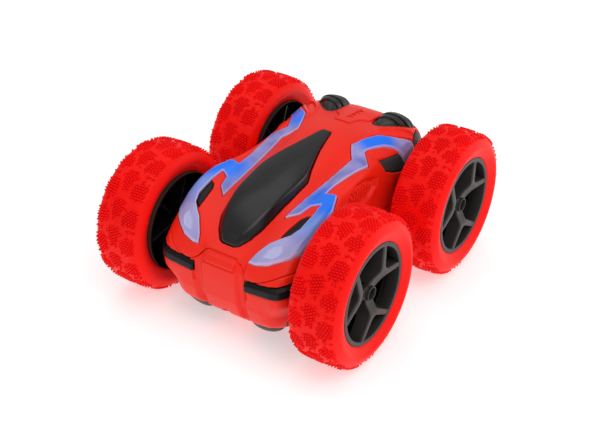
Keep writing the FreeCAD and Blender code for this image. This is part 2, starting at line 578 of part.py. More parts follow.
def lower_shell(shell, canopy, upper):
    """The shell with its screw wells, the switch's rails and slot, and the charging opening."""
    inside = turned(upper_solid(WALL / 2))
    for x, y in SCREW_POSTS:
        column = post(x, y, WELL_RADIUS + 0.5, 0, AXIS_Z - FRAME_THICKNESS / 2).common(inside)
        shell = shell.fuse(column.cut(canopy).cut(upper))
    for x, y in SCREW_POSTS:
        shell = shell.cut(post(x, y, SCREW_RADIUS + 0.1, 0, AXIS_Z))
    shell = shell.cut(screw_wells())
    shell = shell.fuse([box(SWITCH_X - 5, SWITCH_X + 5, 5.0, 6.2, 4.8, 11),
                        box(SWITCH_X - 5, SWITCH_X + 5, -6.2, -5.0, 4.8, 11)])
    shell = shell.cut(box(SWITCH_X - 1.8, SWITCH_X + 1.8, -4.2, 4.2, 0, 6.2))
    shell = shell.cut(box(SWITCH_X - 4.1, SWITCH_X + 4.1, SOCKET_Y - 2.1, SOCKET_Y + 2.1, 0, 12))
    return with_axle_holes(shell)


def with_axle_holes(shell):
    for x in (AXLE_X, -AXLE_X):
        shell = shell.cut(rod(x, AXIS_Z, BOSS_RADIUS + 0.3, -60, 60))
    return only_solids(shell)


def bushes():
    made = []
    for x in (AXLE_X, -AXLE_X):
        for y0, y1 in ((PLATE_IN - 0.6, PLATE_OUT), (BOSS_OUT - 5.0, BOSS_OUT)):
            bush = rod(x, AXIS_Z, BUSH_RADIUS, y0, y1).cut(rod(x, AXIS_Z, AXLE_RADIUS + RUNNING, 0, 60))
            made += [bush, mirrored(bush)]
    return group(made)


def gear_pins():
    pins = [rod(x, AXIS_Z, PIN_RADIUS, PLATE_IN, COVER_OUT) for x in pin_places()]
    return group(pins + [mirrored(pin) for pin in pins])


def body_nodes():
    pieces = body_pieces()
    shell = pieces.pop("shell")
    canopy = pieces["canopy"]
    upper = upper_shell(shell, canopy)
    nodes = {"upper_shell": upper, "lower_shell": lower_shell(turned(shell), turned(canopy), upper)}
    for name, piece in pieces.items():
        nodes["upper_" + name] = piece
        nodes["lower_" + name] = turned(piece)
    nodes["lower_canopy"] = nodes["lower_canopy"].cut(screw_wells())
    return nodes


def inner_nodes():
    return {
        "chassis_frame": frame(),
        "gearbox_cover_left": gearbox_cover(),
        "gearbox_cover_right": mirrored(gearbox_cover()),
        "gear_pins": gear_pins(),
        "axle_bushes": bushes(),
        "motor_left": motor(-MOTOR_X, 1),
        "motor_right": motor(MOTOR_X, -1),
        "battery_pack": battery_pack(),
        "circuit_board": circuit_board(),
        "lamp_boards": lamp_boards(),
        "power_switch": switch_body(),
        "switch_slider": switch_slider(),
        "charge_socket": charge_socket(),
        "shell_screws": screws(),
    }


def moving_nodes():
    nodes = {}
    for side in ("left", "right"):
        place = (lambda shape: shape) if side == "left" else mirrored
        for name, shape in gear_train(-MOTOR_X if side == "left" else MOTOR_X).items():
            nodes[name + "_" + side] = place(shape)
        for end, x in (("front", AXLE_X), ("rear", -AXLE_X)):
            label = "_" + end + "_" + side
            for name, make in (("tyre", tyre), ("rim", rim), ("axle", axle),
                               ("wheel_screw", wheel_screw)):
                nodes[name + label] = place(make(x))
    return nodes


if __name__ == "__main__":
    os.makedirs("parts", exist_ok=True)
    for nodes in (body_nodes(), inner_nodes(), moving_nodes()):
        for name, shape in nodes.items():
            if not shape.isValid():
                print("not a valid shape:", name)
            save(name, shape)
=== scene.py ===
import math
from functools import reduce

import bpy
import numpy as np
import openvdb
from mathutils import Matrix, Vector


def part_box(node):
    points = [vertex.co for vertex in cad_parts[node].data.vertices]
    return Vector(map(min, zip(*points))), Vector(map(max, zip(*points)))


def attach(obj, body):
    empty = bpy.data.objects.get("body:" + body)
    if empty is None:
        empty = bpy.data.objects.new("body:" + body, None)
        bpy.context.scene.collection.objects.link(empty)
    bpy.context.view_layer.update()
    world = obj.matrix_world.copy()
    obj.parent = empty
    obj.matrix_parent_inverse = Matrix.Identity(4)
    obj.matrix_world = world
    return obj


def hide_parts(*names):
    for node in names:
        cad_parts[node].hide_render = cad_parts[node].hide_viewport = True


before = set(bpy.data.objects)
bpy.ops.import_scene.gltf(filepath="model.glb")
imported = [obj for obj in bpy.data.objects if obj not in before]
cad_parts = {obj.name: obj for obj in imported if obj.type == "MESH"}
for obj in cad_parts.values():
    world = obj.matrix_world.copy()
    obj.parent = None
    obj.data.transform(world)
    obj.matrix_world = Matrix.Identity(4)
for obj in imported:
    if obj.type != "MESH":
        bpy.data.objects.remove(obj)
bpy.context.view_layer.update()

# Everything below is worked out in millimetres and turned into metres when a mesh is made.
MM = 0.001
VOXEL = 0.4


def low_high(node):
    """Lowest and highest corner of a node."""
    low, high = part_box(node)
    return np.array(low) / MM, np.array(high) / MM


# ---- sizes read from the frame ----
TYRE_LOW, TYRE_HIGH = low_high("tyre_front_left")
RIM_LOW, RIM_HIGH = low_high("rim_front_left")
WHEEL_RADIUS = (TYRE_HIGH[2] - TYRE_LOW[2]) / 2
AXIS_Z = (TYRE_HIGH[2] + TYRE_LOW[2]) / 2
AXLE_X = (TYRE_HIGH[0] + TYRE_LOW[0]) / 2
TYRE_IN, TYRE_OUT = TYRE_LOW[1], TYRE_HIGH[1]
RIM_RADIUS = (RIM_HIGH[0] - RIM_LOW[0]) / 2
RIM_BACK, RIM_FACE = RIM_LOW[1], RIM_HIGH[1]
HALF_LENGTH, HALF_WIDTH, _ = low_high("upper_shell")[1]

# ---- the body's lines, above the plane of the axles ----
STATIONS = (-76, -70, -64, -56, -48, -36, -24, -12, 4, 16, 28, 38, 47, 55, 62, 68, 76)
# Height of the roof at each station, by offset from the middle
ROOF_LINES = {
    0: (55, 60, 63.8, 66.8, 68.2, 70.2, 71.2, 71, 69.5, 66.5, 64, 61.4, 58, 54.5, 51, 48.4, 44.5),
    13: (55, 60, 63.6, 66.2, 67.4, 69.2, 70, 69.2, 67.6, 65.4, 63.4, 61.3, 58.6, 55.6, 52, 48.2, 44.5),
    18.5: (54.6, 59.8, 63.2, 65.8, 67.2, 69.1, 68.9, 66, 63.6, 62.4, 61.6, 61, 59.4, 57.2, 53.6, 48, 44),
    25: (52.6, 58.6, 62.2, 65.4, 67.2, 67.8, 67, 65.2, 64.4, 64, 63, 61.6, 60, 58, 53.4, 47, 42.5),
    31: (47.6, 54.2, 59, 63.2, 64.6, 64, 62.8, 62, 62.4, 64, 63.8, 62.4, 60.4, 56.8, 51, 45.5, 40),
    36: (42, 48.2, 53, 57.6, 58.8, 57, 55, 54, 56, 59.5, 62.8, 62.6, 59, 53, 47.5, 42.5, 36),
    41: (35, 41, 46, 49.6, 50, 48, 46, 46, 48, 52, 56, 56, 52, 46, 41, 36, 30),
}
# Outlines from above: x and offset from the middle, on the left
CANOPY = [(63.4, 3.2), (62.4, 5.4), (58.2, 9), (52.6, 11.6), (44.3, 12.8), (31, 13.6), (17.5, 13.6),
          (10.8, 11), (-4, 6.6), (-20.6, 2.8)]
STRIP = [(43.3, 17.4), (30.6, 17.8), (14.9, 18.6), (-11.1, 20.3), (-13.5, 18.4), (-18.4, 15.3),
         (-26.5, 18.1), (-33.8, 21.2), (-38, 25.7), (-42, 29.3), (-48, 33), (-48.6, 34.6),
         (-38, 34.6), (-34.6, 31), (-30, 27.6), (-24.5, 25), (-19.3, 22.8), (-16.1, 25.7),
         (-12.9, 28.9), (-3.2, 26.9), (11.9, 25.2), (19.5, 25.3), (18.6, 30.9), (30, 35.6),
         (39.4, 35.8), (47, 35.6), (55.4, 34.4), (59.6, 32.1), (62.7, 28.7), (65.9, 23.8),
         (67.7, 17.8), (67.6, 14), (63.9, 15.7), (58.1, 20.2), (55.2, 23.6), (51.9, 26.8), (46.6, 28.7),
         (36.2, 28.9), (28.8, 28.1), (31.1, 24.3), (37.9, 22.8)]
REFLECTOR = [(64.4, 20.4), (61.5, 21.4), (59.5, 23.4), (57.6, 26.4), (59.6, 27.7), (61.6, 27),
             (63.6, 25)]
WINDOW = [(54.6, 23.3), (47.9, 24), (41.2, 25), (38.4, 26.4), (37.2, 28.7), (46.4, 28.5),
          (51.7, 26.6)]
HATCH = [(-34.4, 4.3), (-41.6, 6), (-45.4, 10.4), (-56, 10.4), (-62.4, 8.4)]
HUMP = [(-42.8, 14.2), (-44, 16.6), (-46.6, 19.6), (-51.5, 24.4), (-56.5, 27.4), (-61.5, 27.4),
        (-65.4, 25.6), (-65.4, 12.6), (-60, 11.2), (-54, 10.7), (-48, 10.9), (-44.2, 12.1)]
FENDER_TAIL = [(-47.2, 35.2), (-49.5, 33.2), (-55, 30.8), (-60, 28.8), (-61.6, 32), (-61.6, 40),
               (-47.2, 40)]
FLARE = [(-28.5, 17.4), (-33.5, 16.6), (-39.6, 17.9), (-44.6, 20.3), (-49.5, 25), (-53.6, 29.4),
         (-55, 34), (-48.6, 34.6), (-48.2, 32.9), (-42, 29.1), (-38, 25.5), (-33.6, 20.9),
         (-29.6, 19.2)]
ARCH_PLATE = [(-20.8, 23.6), (-24.4, 26.2), (-26, 29.2), (-24.6, 31.2), (-19.4, 29.2), (-16.8, 26.8)]
# From the side: x and height
FENDER_INSERT = [(-20.9, 62.9), (-22.6, 57.2), (-28, 54.4), (-34.5, 52.2), (-50, 48.5),
                 (-50, 57.4), (-40, 59.6), (-35, 60.9), (-28, 61.9)]
HUMP_CREST = [(-70, 61), (-66, 63.4), (-62.5, 66.8), (-58, 69.4), (-53, 70.5), (-48, 70),
              (-44, 68.9), (-41, 67.4)]
# x, height and half width
CANOPY_CREST = [(-20.6, 71.7, 2.7), (-4, 71.5, 6.4), (10.8, 70.7, 10.6), (28, 68.9, 11.4),
                (44, 65.6, 10.2), (59.6, 56.8, 5.4), (63.4, 51.4, 3.2)]
# Offset and height of the joint between the shells, at the nose
LIP = [(0, 48), (8.4, 48), (10.6, 45.8), (12.8, 43), (15.5, 41.7), (19, 41.5), (22.5, 42.4), (28, 44.8),
       (32, 46.4), (45, 48)]
WALL = 1.8  # thickness of the shells
GAP = 0.12  # half the gap between two pieces
SCREW_POSTS = [(65.2, 0), (-65.2, 0), (-2, 13), (-2, -13)]
SCREW_SEAT_Z, SEAT_THICKNESS, SCREW_HOLE, SCREW_DEPTH = 30, 1.2, 1.3, 3
WELL_RADIUS, WELL_WALL = 2.7, 0.8
SLIDER_TRAVEL = 4.4  # with a little to spare


def opening_round(node, spare, travel=0.0):
    """Middle and half size, along x and y, of an opening round a node that slides along y."""
    low, high = (corner[:2] for corner in low_high(node))
    high = high + (0, travel)
    return (low + high) / 2, (high - low) / 2 + spare


SLOTS = [opening_round("switch_slider", (0.4, 0.5), SLIDER_TRAVEL),
         opening_round("charge_socket", (0.1, 0.1))]


# ---- curves and distances ----
def through(xs, values, x):
    """Cubic curve through points, with finite-difference slopes; values may have more axes."""
    xs = np.asarray(xs, float)
    values = np.asarray(values, float)
    low = np.maximum(np.arange(len(xs)) - 1, 0)
    high = np.minimum(np.arange(len(xs)) + 1, len(xs) - 1)
    spans = (xs[high] - xs[low]).reshape((-1,) + (1,) * (values.ndim - 1))
    slopes = (values[high] - values[low]) / spans
    x = np.clip(x, xs[0], xs[-1])
    i = np.clip(np.searchsorted(xs, x, side="right") - 1, 0, len(xs) - 2)
    h = (xs[i + 1] - xs[i]).reshape(np.shape(i) + (1,) * (values.ndim - 1))
    t = (x - xs[i]).reshape(h.shape) / h
    return ((2 * t**3 - 3 * t**2 + 1) * values[i] + (t**3 - 2 * t**2 + t) * h * slopes[i]
            + (3 * t**2 - 2 * t**3) * values[i + 1] + (t**3 - t**2) * h * slopes[i + 1])


def blurred(field, sigma):
    """A flat field blurred along both axes; sigma is in steps."""
    reach = int(3 * sigma) + 1
    kernel = np.exp(-0.5 * (np.arange(-reach, reach + 1) / sigma) ** 2)
    kernel /= kernel.sum()
    for axis in (0, 1):
        ends = [(reach, reach) if a == axis else (0, 0) for a in (0, 1)]
        padded, count = np.pad(field, ends, mode="edge"), field.shape[axis]
        field = sum(w * np.take(padded, range(k, k + count), axis=axis) for k, w in enumerate(kernel))
    return field


def polygon_distance(points, u, v):
    """Signed distance to a closed outline, negative inside; u and v broadcast."""
    u, v = np.broadcast_arrays(u, v)
    best = np.full(u.shape, 1e9)
    inside = np.zeros(u.shape, bool)
    for (x0, y0), (x1, y1) in zip(points, np.roll(points, -1, axis=0)):
        ex, ey = x1 - x0, y1 - y0
        if not (ex or ey):
            continue
        px, py = u - x0, v - y0
        t = np.clip((px * ex + py * ey) / (ex * ex + ey * ey), 0, 1)
        best = np.minimum(best, (px - ex * t) ** 2 + (py - ey * t) ** 2)
        crosses = (y0 > v) != (y1 > v)
        if ey:
            inside ^= crosses & (px < ex * (v - y0) / ey)
    return np.where(inside, -1, 1) * np.sqrt(best)


def smooth_max(a, b, k):
    """The larger of two fields, with the crease between them rounded over a width k."""
    h = np.maximum(k - np.abs(a - b), 0) / k
    return np.maximum(a, b) + h * h * k / 4


def smooth_min(a, b, k):
    return -smooth_max(-a, -b, k)


def smoothstep(low, high, x):
    """0 at low and 1 at high, with a soft start and end; low may be the larger."""
    t = np.clip((x - low) / (high - low), 0, 1)
    return t * t * (3 - 2 * t)


def carved(field, *walls):
    """The field with a hole where every one of the walls is negative."""
    return np.maximum(field, -reduce(np.maximum, walls))


def both_sides(outline):
    """A half outline closed with its mirror image."""
    return outline + [(x, -y) for x, y in reversed(outline)]


# ---- volumes and their meshes ----
class Space:
    """A box of voxel centres, as three broadcastable coordinate arrays in millimetres."""

    def __init__(self, low, high, step):
        self.low, self.step = np.array(low, float), step
        counts = [int(math.ceil((b - a) / step)) + 1 for a, b in zip(low, high)]
        axes = [a + step * np.arange(n) for a, n in zip(low, counts)]
        self.x = axes[0][:, None, None]
        self.y = axes[1][None, :, None]
        self.z = axes[2][None, None, :]

    def faces(self, field):
        """Points in millimetres and quads of the surface where the field is zero."""
        shape = (self.x.size, self.y.size, self.z.size)
        values = np.clip(np.broadcast_to(field, shape) / self.step, -3, 3).astype(np.float32)
        for axis in range(3):
            ends = [slice(None)] * 3
            for end in (0, -1):
                ends[axis] = end
                values[tuple(ends)] = 3.0
        grid = openvdb.FloatGrid(3.0)
        grid.copyFromArray(values)
        points, quads = grid.convertToQuads(0.0)
        return without_crumbs(points * self.step + self.low, quads[:, ::-1])


def without_crumbs(points, quads, fewest=40):
    """Drops the closed scraps of only a few faces that a cut can leave."""
    label = np.arange(len(points))
    while True:
        lowest = label.copy()
        for corner in range(4):
            np.minimum.at(lowest, quads[:, corner], label[quads].min(axis=1))
        lowest = lowest[lowest]
        if np.array_equal(lowest, label):
            break
        label = lowest
    part = label[quads[:, 0]]
    keep = np.bincount(part, minlength=len(points))[part] >= fewest
    used, quads = np.unique(quads[keep], return_inverse=True)
    return points[used], quads.reshape(-1, 4)


def linked(name, data):
    """A new object in the scene."""
    obj = bpy.data.objects.new(name, data)
    bpy.context.scene.collection.objects.link(obj)
    return obj


def make_mesh(name, points, faces):
    """A smooth mesh from points in millimetres."""
    mesh = bpy.data.meshes.new(name)
    mesh.vertices.add(len(points))
    mesh.vertices.foreach_set("co", (points * MM).ravel().astype(np.float32))
    sides = faces.shape[1]
    mesh.loops.add(faces.size)
    mesh.loops.foreach_set("vertex_index", faces.ravel().astype(np.int32))
    mesh.polygons.add(len(faces))
    mesh.polygons.foreach_set("loop_start", np.arange(0, faces.size, sides, dtype=np.int32))
    mesh.polygons.foreach_set("loop_total", np.full(len(faces), sides, dtype=np.int32))
    mesh.polygons.foreach_set("use_smooth", np.full(len(faces), True))
    mesh.update(calc_edges=True)
    mesh.validate()
    return mesh


def relaxed(points, quads, passes=2, pull=0.5, push=0.53):
    """Evens out the small steps of the voxels without shrinking the shape."""
    edges = np.vstack([quads[:, [i, (i + 1) % 4]] for i in range(4)])
    count = np.bincount(edges[:, 0], minlength=len(points)).astype(float)
    for factor in [pull, -push] * passes:
        total = np.zeros_like(points)
        for axis in range(3):
            total[:, axis] = np.bincount(edges[:, 0], weights=points[edges[:, 1], axis],
                                         minlength=len(points))
        points = points + factor * (total / count[:, None] - points)
    return points


def joined(parts):
    """One set of points and quads, with a number for each quad's part."""
    points, quads, marks, start = [], [], [], 0
    for mark, (part_points, part_quads) in enumerate(parts):
        points.append(part_points)
        quads.append(part_quads + start)
        marks.append(np.full(len(part_quads), mark))
        start += len(part_points)
    return np.vstack(points), np.vstack(quads), np.concatenate(marks)


def outward(points, quads):
    """The quads in the order that makes their normals point out of the closed shape."""
    a, b, c, d = (points[quads[:, i]] for i in range(4))
    volume = np.einsum("ij,ij->i", a + c, np.cross(b - a, d - a) + np.cross(d - c, b - c)).sum()
    return quads if volume > 0 else quads[:, ::-1]


def piece(node, points, faces, materials, body, marks=None):
    """A finished piece that rides on a body and stands for a CAD node; marks choose the materials."""
    name = node + "_visual"
    obj = linked(name, make_mesh(name, points, faces))
    for material_of_faces in materials:
        obj.data.materials.append(material_of_faces)
    if marks is not None:
        obj.data.polygons.foreach_set("material_index", marks.astype(np.int32))
    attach(obj, body)
    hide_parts(node)
    return obj


def turned(points):
    """The same points on the lower half: turned half a circle about the lateral axis."""
    return points * (-1, 1, -1) + (0, 0, 2 * AXIS_Z)


# ---- the body's surfaces ----
FLANK = [(26, HALF_WIDTH), (14, 33.4), (0, 33.0)]
PLAN_QUARTER = [(HALF_LENGTH, 0), (HALF_LENGTH, 29), (HALF_LENGTH - 1.6, HALF_WIDTH - 4),
                (HALF_LENGTH - 5.5, HALF_WIDTH - 1.2), (HALF_LENGTH - 11, HALF_WIDTH)] + FLANK
PLAN_CUT = [(HALF_LENGTH, 0), (HALF_LENGTH, 23), (HALF_LENGTH - 2.4, 26.6), (HALF_LENGTH - 7, 30.4),
            (HALF_LENGTH - 13, 34.4), (HALF_LENGTH - 19, HALF_WIDTH)] + FLANK
CUT_HEIGHTS = (42.5, 53.5)  # the tail's corners change from the first outline to the cut one
PROFILE = [(HALF_LENGTH, 30), (HALF_LENGTH, 42), (70.6, 48), (66, 80), (-63.4, 80), (-66.4, 63.2),
           (-71.4, 51), (-HALF_LENGTH, 41), (-HALF_LENGTH, 30)]
ROOF_BLUR, ROOF_EDGE, SIDE_EDGE, SIDE_DRAFT = 1.6, 3.0, 4.0, 0.05
# Upright grooves beside the middle of the nose and the tail
GROOVE_DEPTH, GROOVE_INNER, GROOVE_OUTER = 2.6, (8.8, 10.8), (15.8, 12.4)
GROOVE_ENDS, GROOVE_FADE = (58, 66), (65, 56)
# Coves with cooling ribs in the sides
COVE = [(15, 54.6), (9.5, 58.6), (1, 61), (-9, 60.2), (-16.5, 57), (-15, 52), (-9, 48.6),
        (-2, 47.6), (5, 50)]
COVE_MIDDLE, COVE_DEPTH, COVE_WALL, COVE_SIDE = 56, 2.25, (-0.3, 2.2), (24, 28)
RIB_RISE, RIB_PITCH, RIB_LEAN, RIB_EDGE, RIB_INSET = 1.9, 2.5, 0.35, (0.6, 0.3), (2.2, 3.6)
LIP_ENDS, LIP_BLUR = (52, 60), 0.5


def plan_outline(tail):
    """The body from above, with one quarter's points at the nose and another's at the tail."""
    return both_sides(PLAN_QUARTER + [(-x, y) for x, y in reversed(tail[:-1])])


def roof_map(x, y):
    """Roof height over a grid of stations x and offsets y."""
    offsets = sorted(ROOF_LINES)
    lines = through(STATIONS, np.array([ROOF_LINES[o] for o in offsets]).T, x)
    whole = [-o for o in reversed(offsets[1:])] + offsets
    values = np.hstack([lines[:, :0:-1], lines])
    return through(whole, values.T, y).T


def steepness(heights, step):
    """How much longer a slope is than its plan, to turn heights into distances."""
    slope_x, slope_y = np.gradient(heights, step)
    return np.sqrt(1 + slope_x**2 + slope_y**2)[:, :, None]


def half_body(space, flip):
    """Distance to one half of the body; flip gives the half turned over."""
    x = -space.x if flip else space.x
    z = 2 * AXIS_Z - space.z if flip else space.z
    y = np.abs(space.y)
    roof = blurred(roof_map(x.ravel(), space.y.ravel()), ROOF_BLUR / space.step)
    field = (z - roof[:, :, None]) / steepness(roof, space.step)
    grooves = GROOVE_DEPTH * smoothstep(*GROOVE_INNER, y) * smoothstep(*GROOVE_OUTER, y)
    grooves = grooves * smoothstep(*GROOVE_ENDS, np.abs(x)) * smoothstep(*GROOVE_FADE, z)
    profile = polygon_distance(PROFILE, x[:, 0, :], z[0])[:, None, :] + grooves
    field = smooth_max(field, profile, ROOF_EDGE)
    full, cut = (polygon_distance(plan_outline(tail), x[:, :, 0], space.y[:, :, 0])[:, :, None]
                 for tail in (PLAN_QUARTER, PLAN_CUT))
    plan = full + (cut - full) * smoothstep(*CUT_HEIGHTS, z)
    return smooth_max(field, plan + SIDE_DRAFT * (z - AXIS_Z), SIDE_EDGE)


def body_field(space):
    """Distance to the whole body, with the coves of its sides."""
    outer = np.where(space.z >= AXIS_Z, half_body(space, False), half_body(space, True))
    for turn in (1, -1):
        u, v = turn * space.x[:, 0, :], AXIS_Z + turn * (space.z[0] - AXIS_Z)
        inward = -polygon_distance(COVE, u, v)
        from_rib = np.abs((u + RIB_LEAN * (v - COVE_MIDDLE)) % RIB_PITCH - RIB_PITCH / 2)
        rib = RIB_RISE * smoothstep(*RIB_EDGE, from_rib) * smoothstep(*RIB_INSET, inward)
        depth = COVE_DEPTH * smoothstep(*COVE_WALL, inward) - rib
        outer = outer + depth[:, None, :] * smoothstep(*COVE_SIDE, np.abs(space.y))
    return outer


UPPER_SPACE = Space((-75, -38.5, 25), (75, 38.5, 74), VOXEL)  # a little larger than the upper half
BODY = body_field(UPPER_SPACE)
X, Y, Z = UPPER_SPACE.x, np.abs(UPPER_SPACE.y), UPPER_SPACE.z
ACROSS = UPPER_SPACE.y  # Y with its sign


def split_distance(space):
    """Distance below the joint between the shells, which steps up under the hood and down at the tail."""
    x, y = np.broadcast_arrays(space.x[:, :, 0], space.y[:, :, 0])
    rise = np.interp(np.abs(y), *zip(*LIP)) - AXIS_Z
    lip = AXIS_Z + rise * (smoothstep(*LIP_ENDS, x) - smoothstep(*LIP_ENDS, -x))
    lip = blurred(lip, LIP_BLUR / space.step)
    return (lip[:, :, None] - space.z) / steepness(lip, space.step)


def from_above(outline):
    return polygon_distance(outline, X[:, :, 0], Y[:, :, 0])[:, :, None]


# Each panel keeps above its floor, and the side inserts outside their inner edge.
STRIP_FLOOR, WINDOW_FLOOR, HATCH_FLOOR, INSERT_FLOOR, HUMP_FLOOR = 46, 42, 52, 52, 54
INSERT_INNER, INSERT_SIDE = 24, polygon_distance(FENDER_INSERT, X[:, 0, :], Z[0])[:, None, :]
PANELS = {
    "canopy": from_above(both_sides(CANOPY)),
    "strip": np.maximum(from_above(STRIP), STRIP_FLOOR - Z),
    "window": np.maximum(from_above(WINDOW), WINDOW_FLOOR - Z),
    "hatch": np.maximum(from_above(both_sides(HATCH)), HATCH_FLOOR - Z),
    "insert": np.minimum(np.maximum(INSERT_SIDE, INSERT_INNER - Y),
                         np.maximum(from_above(FENDER_TAIL), INSERT_FLOOR - Z)),
    "hump": np.maximum(from_above(HUMP), HUMP_FLOOR - Z),
}
# The bumper strips go round the tail's corners, between lines that fall towards the sides. The lines are
# named as on the lower half, which is turned over and has the strips at the nose.
CORNER_X, CORNER_Y = -58, 14.4
BUMPER_FOOT, BUMPER_EDGE, BUMPER_TOP = (height - fall * (Y - 15)
                                        for height, fall in ((40.0, 0.09), (36.2, 0.11), (34.1, 0.10)))
BUMPER = np.maximum(np.maximum(X - CORNER_X, CORNER_Y - Y), np.maximum(Z - BUMPER_FOOT, BUMPER_TOP - Z))
SPLIT = split_distance(UPPER_SPACE)

# How far each panel stands proud of the shell, and its thickness
PANEL_SKINS = {"strip": (0.45, 1.8), "window": (-0.25, 1.4), "hatch": (0.45, WALL), "insert": (-0.2, 1.5)}
PANEL_EDGE, OPENING_EDGE = 0.5, 0.3  # rounding of their edges
BUMPER_PROUD, BUMPER_FACET, BUMPER_WALL = 0.75, 2.0, 2.6
HUMP_MIDDLE, HUMP_ARCH, HUMP_STEEPNESS, HUMP_EDGE, HUMP_SUNK = 17.6, 0.034, 0.92, 4.5, 0.5
HUMP_GROOVE_HALF, HUMP_GROOVE_DEPTH = 0.34, 1.1
HUMP_GROOVES, HUMP_STEPS = [(50.3, 0.15), (54.2, 0.12), (59.4, 0.0)], (0.4, 0.3)  # x and slant; rises
RIM_RISE, HOLLOW_DEPTH, PLATE_RISE, RELIEF_HEIGHTS = 0.55, 1.3, 0.6, (54, 57)
TAIL_X = -60  # the tail's own details lie behind this
SLIT_Y, SLIT_Z, SLIT_HALF, SLIT_DEPTH = 15.0, 42.6, (0.5, 2.8), 1.1
BADGE_Z, BADGE_HALF, BADGE_CORNER, BADGE_RISE = 29.9, (8.5, 1.9), 1.6, 0.7
AXLE_HOLE, AXLE_HOLE_INNER = 4.8, 30
CANOPY_ARCH, CANOPY_EDGE, CANOPY_RIM, CANOPY_SKIRT = 0.012, 0.9, 0.6, 1.6
DISH_DEPTH = 0.4
# Vents of the hatch: middle and half size along x and across, of the slot and of its first tooth
VENT_SLOT, VENT_TOOTH = ((-47.2, 7.8), (-0.4, 0.42)), ((-41.6, 0.95), (0.9, 1.3))
VENT_TEETH, VENT_PITCH, VENT_LEAN, VENT_DEPTH = 4, 3.6, 0.3, 1.0


def skin(raised=0.0, thickness=WALL):
    """A layer that follows the body's surface."""
    return np.maximum(BODY - raised, -(BODY + thickness - raised))


def panel_skin(name, dish=0.0):
    """The layer that one panel is made of, within its outline."""
    proud, thickness = PANEL_SKINS[name]
    return smooth_max(skin(proud - dish, thickness), PANELS[name] + GAP, PANEL_EDGE)


def with_opening(field, panel):
    """The field with room for a panel and half the gap round it."""
    return smooth_max(field, -(panel - GAP), OPENING_EDGE)


def fender_relief():
    """How far the shell stands proud: a rim over the tail lamp with a hollow under it, and a plate."""
    flare = from_above(FLARE)
    rim = RIM_RISE * smoothstep(0.3, -0.3, flare) - HOLLOW_DEPTH * smoothstep(-1.1, -2.0, flare)
    plate = PLATE_RISE * smoothstep(0.25, -0.25, from_above(ARCH_PLATE))
    return (rim + plate) * smoothstep(*RELIEF_HEIGHTS, Z)


def with_slits(field):
    """A short upright slit each side of the tail's middle."""
    return carved(field, np.abs(Y - SLIT_Y) - SLIT_HALF[0], np.abs(Z - SLIT_Z) - SLIT_HALF[1],
                  X - TAIL_X, -(BODY + SLIT_DEPTH))


def with_badge(field):
    """A plain raised plate in the middle of the tail's end, with a fine groove round it."""
    badge = smooth_max(np.abs(Y) - BADGE_HALF[0], np.abs(Z - BADGE_Z) - BADGE_HALF[1], BADGE_CORNER)
    raised = np.maximum(smooth_max(BODY - BADGE_RISE, badge, 0.8), np.maximum(X - TAIL_X, -(BODY + WALL)))
    return np.minimum(carved(field, np.abs(badge - 0.35) - 0.3, X - TAIL_X, -(BODY + 0.6)), raised)


def shell_field():
    """The upper shell, open for the panels, the bumper strips and the axles."""
    field = smooth_max(skin(fender_relief()), SPLIT + GAP, PANEL_EDGE)
    for name, panel in PANELS.items():
        if name == "insert":
            panel = np.maximum(panel, -(PANELS["strip"] - GAP))
        field = with_opening(field, panel)
    field = with_opening(field, BUMPER)
    field = with_badge(with_slits(field))
    for side in (-1, 1):
        hole = np.hypot(X - side * AXLE_X, Z - AXIS_Z) - AXLE_HOLE
        field = carved(field, hole, AXLE_HOLE_INNER - Y)
    return field


def canopy_field():
    """A slightly arched crest with facets that slope down to the outline."""
    x = X[:, 0, 0]
    stations, crest, halves = zip(*CANOPY_CREST)
    top, half = through(stations, crest, x), through(stations, halves, x)
    edge_x, edge_y = zip(*reversed(CANOPY))
    edge = np.maximum(through(edge_x, edge_y, x), half + 0.15)
    foot = np.minimum(np.diag(roof_map(x, edge)) - 0.2, top - 0.4)
    steep = np.sqrt(1 + np.gradient(top, VOXEL)**2)
    top, half, edge, foot, steep = (t[:, None, None] for t in (top, half, edge, foot, steep))
    top_face = (Z - top + CANOPY_ARCH * Y**2) / steep
    rise, run = top - foot, edge - half
    side_face = ((Y - half) * rise + (Z - top) * run) / np.sqrt(rise**2 + run**2)
    field = smooth_max(top_face, side_face, CANOPY_EDGE)
    field = smooth_max(field, PANELS["canopy"] + GAP, CANOPY_RIM)
    return np.maximum(field, foot - CANOPY_SKIRT - Z)


def strip_field():
    """A light strip, with a shallow dish in its headlamp."""
    dish = DISH_DEPTH * smoothstep(0.1, -0.5, from_above(REFLECTOR))
    return np.maximum(panel_skin("strip", dish), STRIP_FLOOR - Z)


def hatch_field():
    """The hatch with its vents: a slot along the middle, with slanting teeth on one side."""
    (x, half_x), (y, half_y) = VENT_SLOT
    vents = np.maximum(np.abs(X - x) - half_x, np.abs(ACROSS - y) - half_y)
    (x, half_x), (y, half_y) = VENT_TOOTH
    for i in range(VENT_TEETH):
        width = np.abs(X - x + VENT_PITCH * i) - half_x + VENT_LEAN * ACROSS
        vents = np.minimum(vents, np.maximum(width, np.abs(ACROSS - y) - half_y))
    return carved(panel_skin("hatch"), vents, -(BODY + VENT_DEPTH))


def insert_field():
    return np.maximum(panel_skin("insert"), -(PANELS["strip"] - GAP))


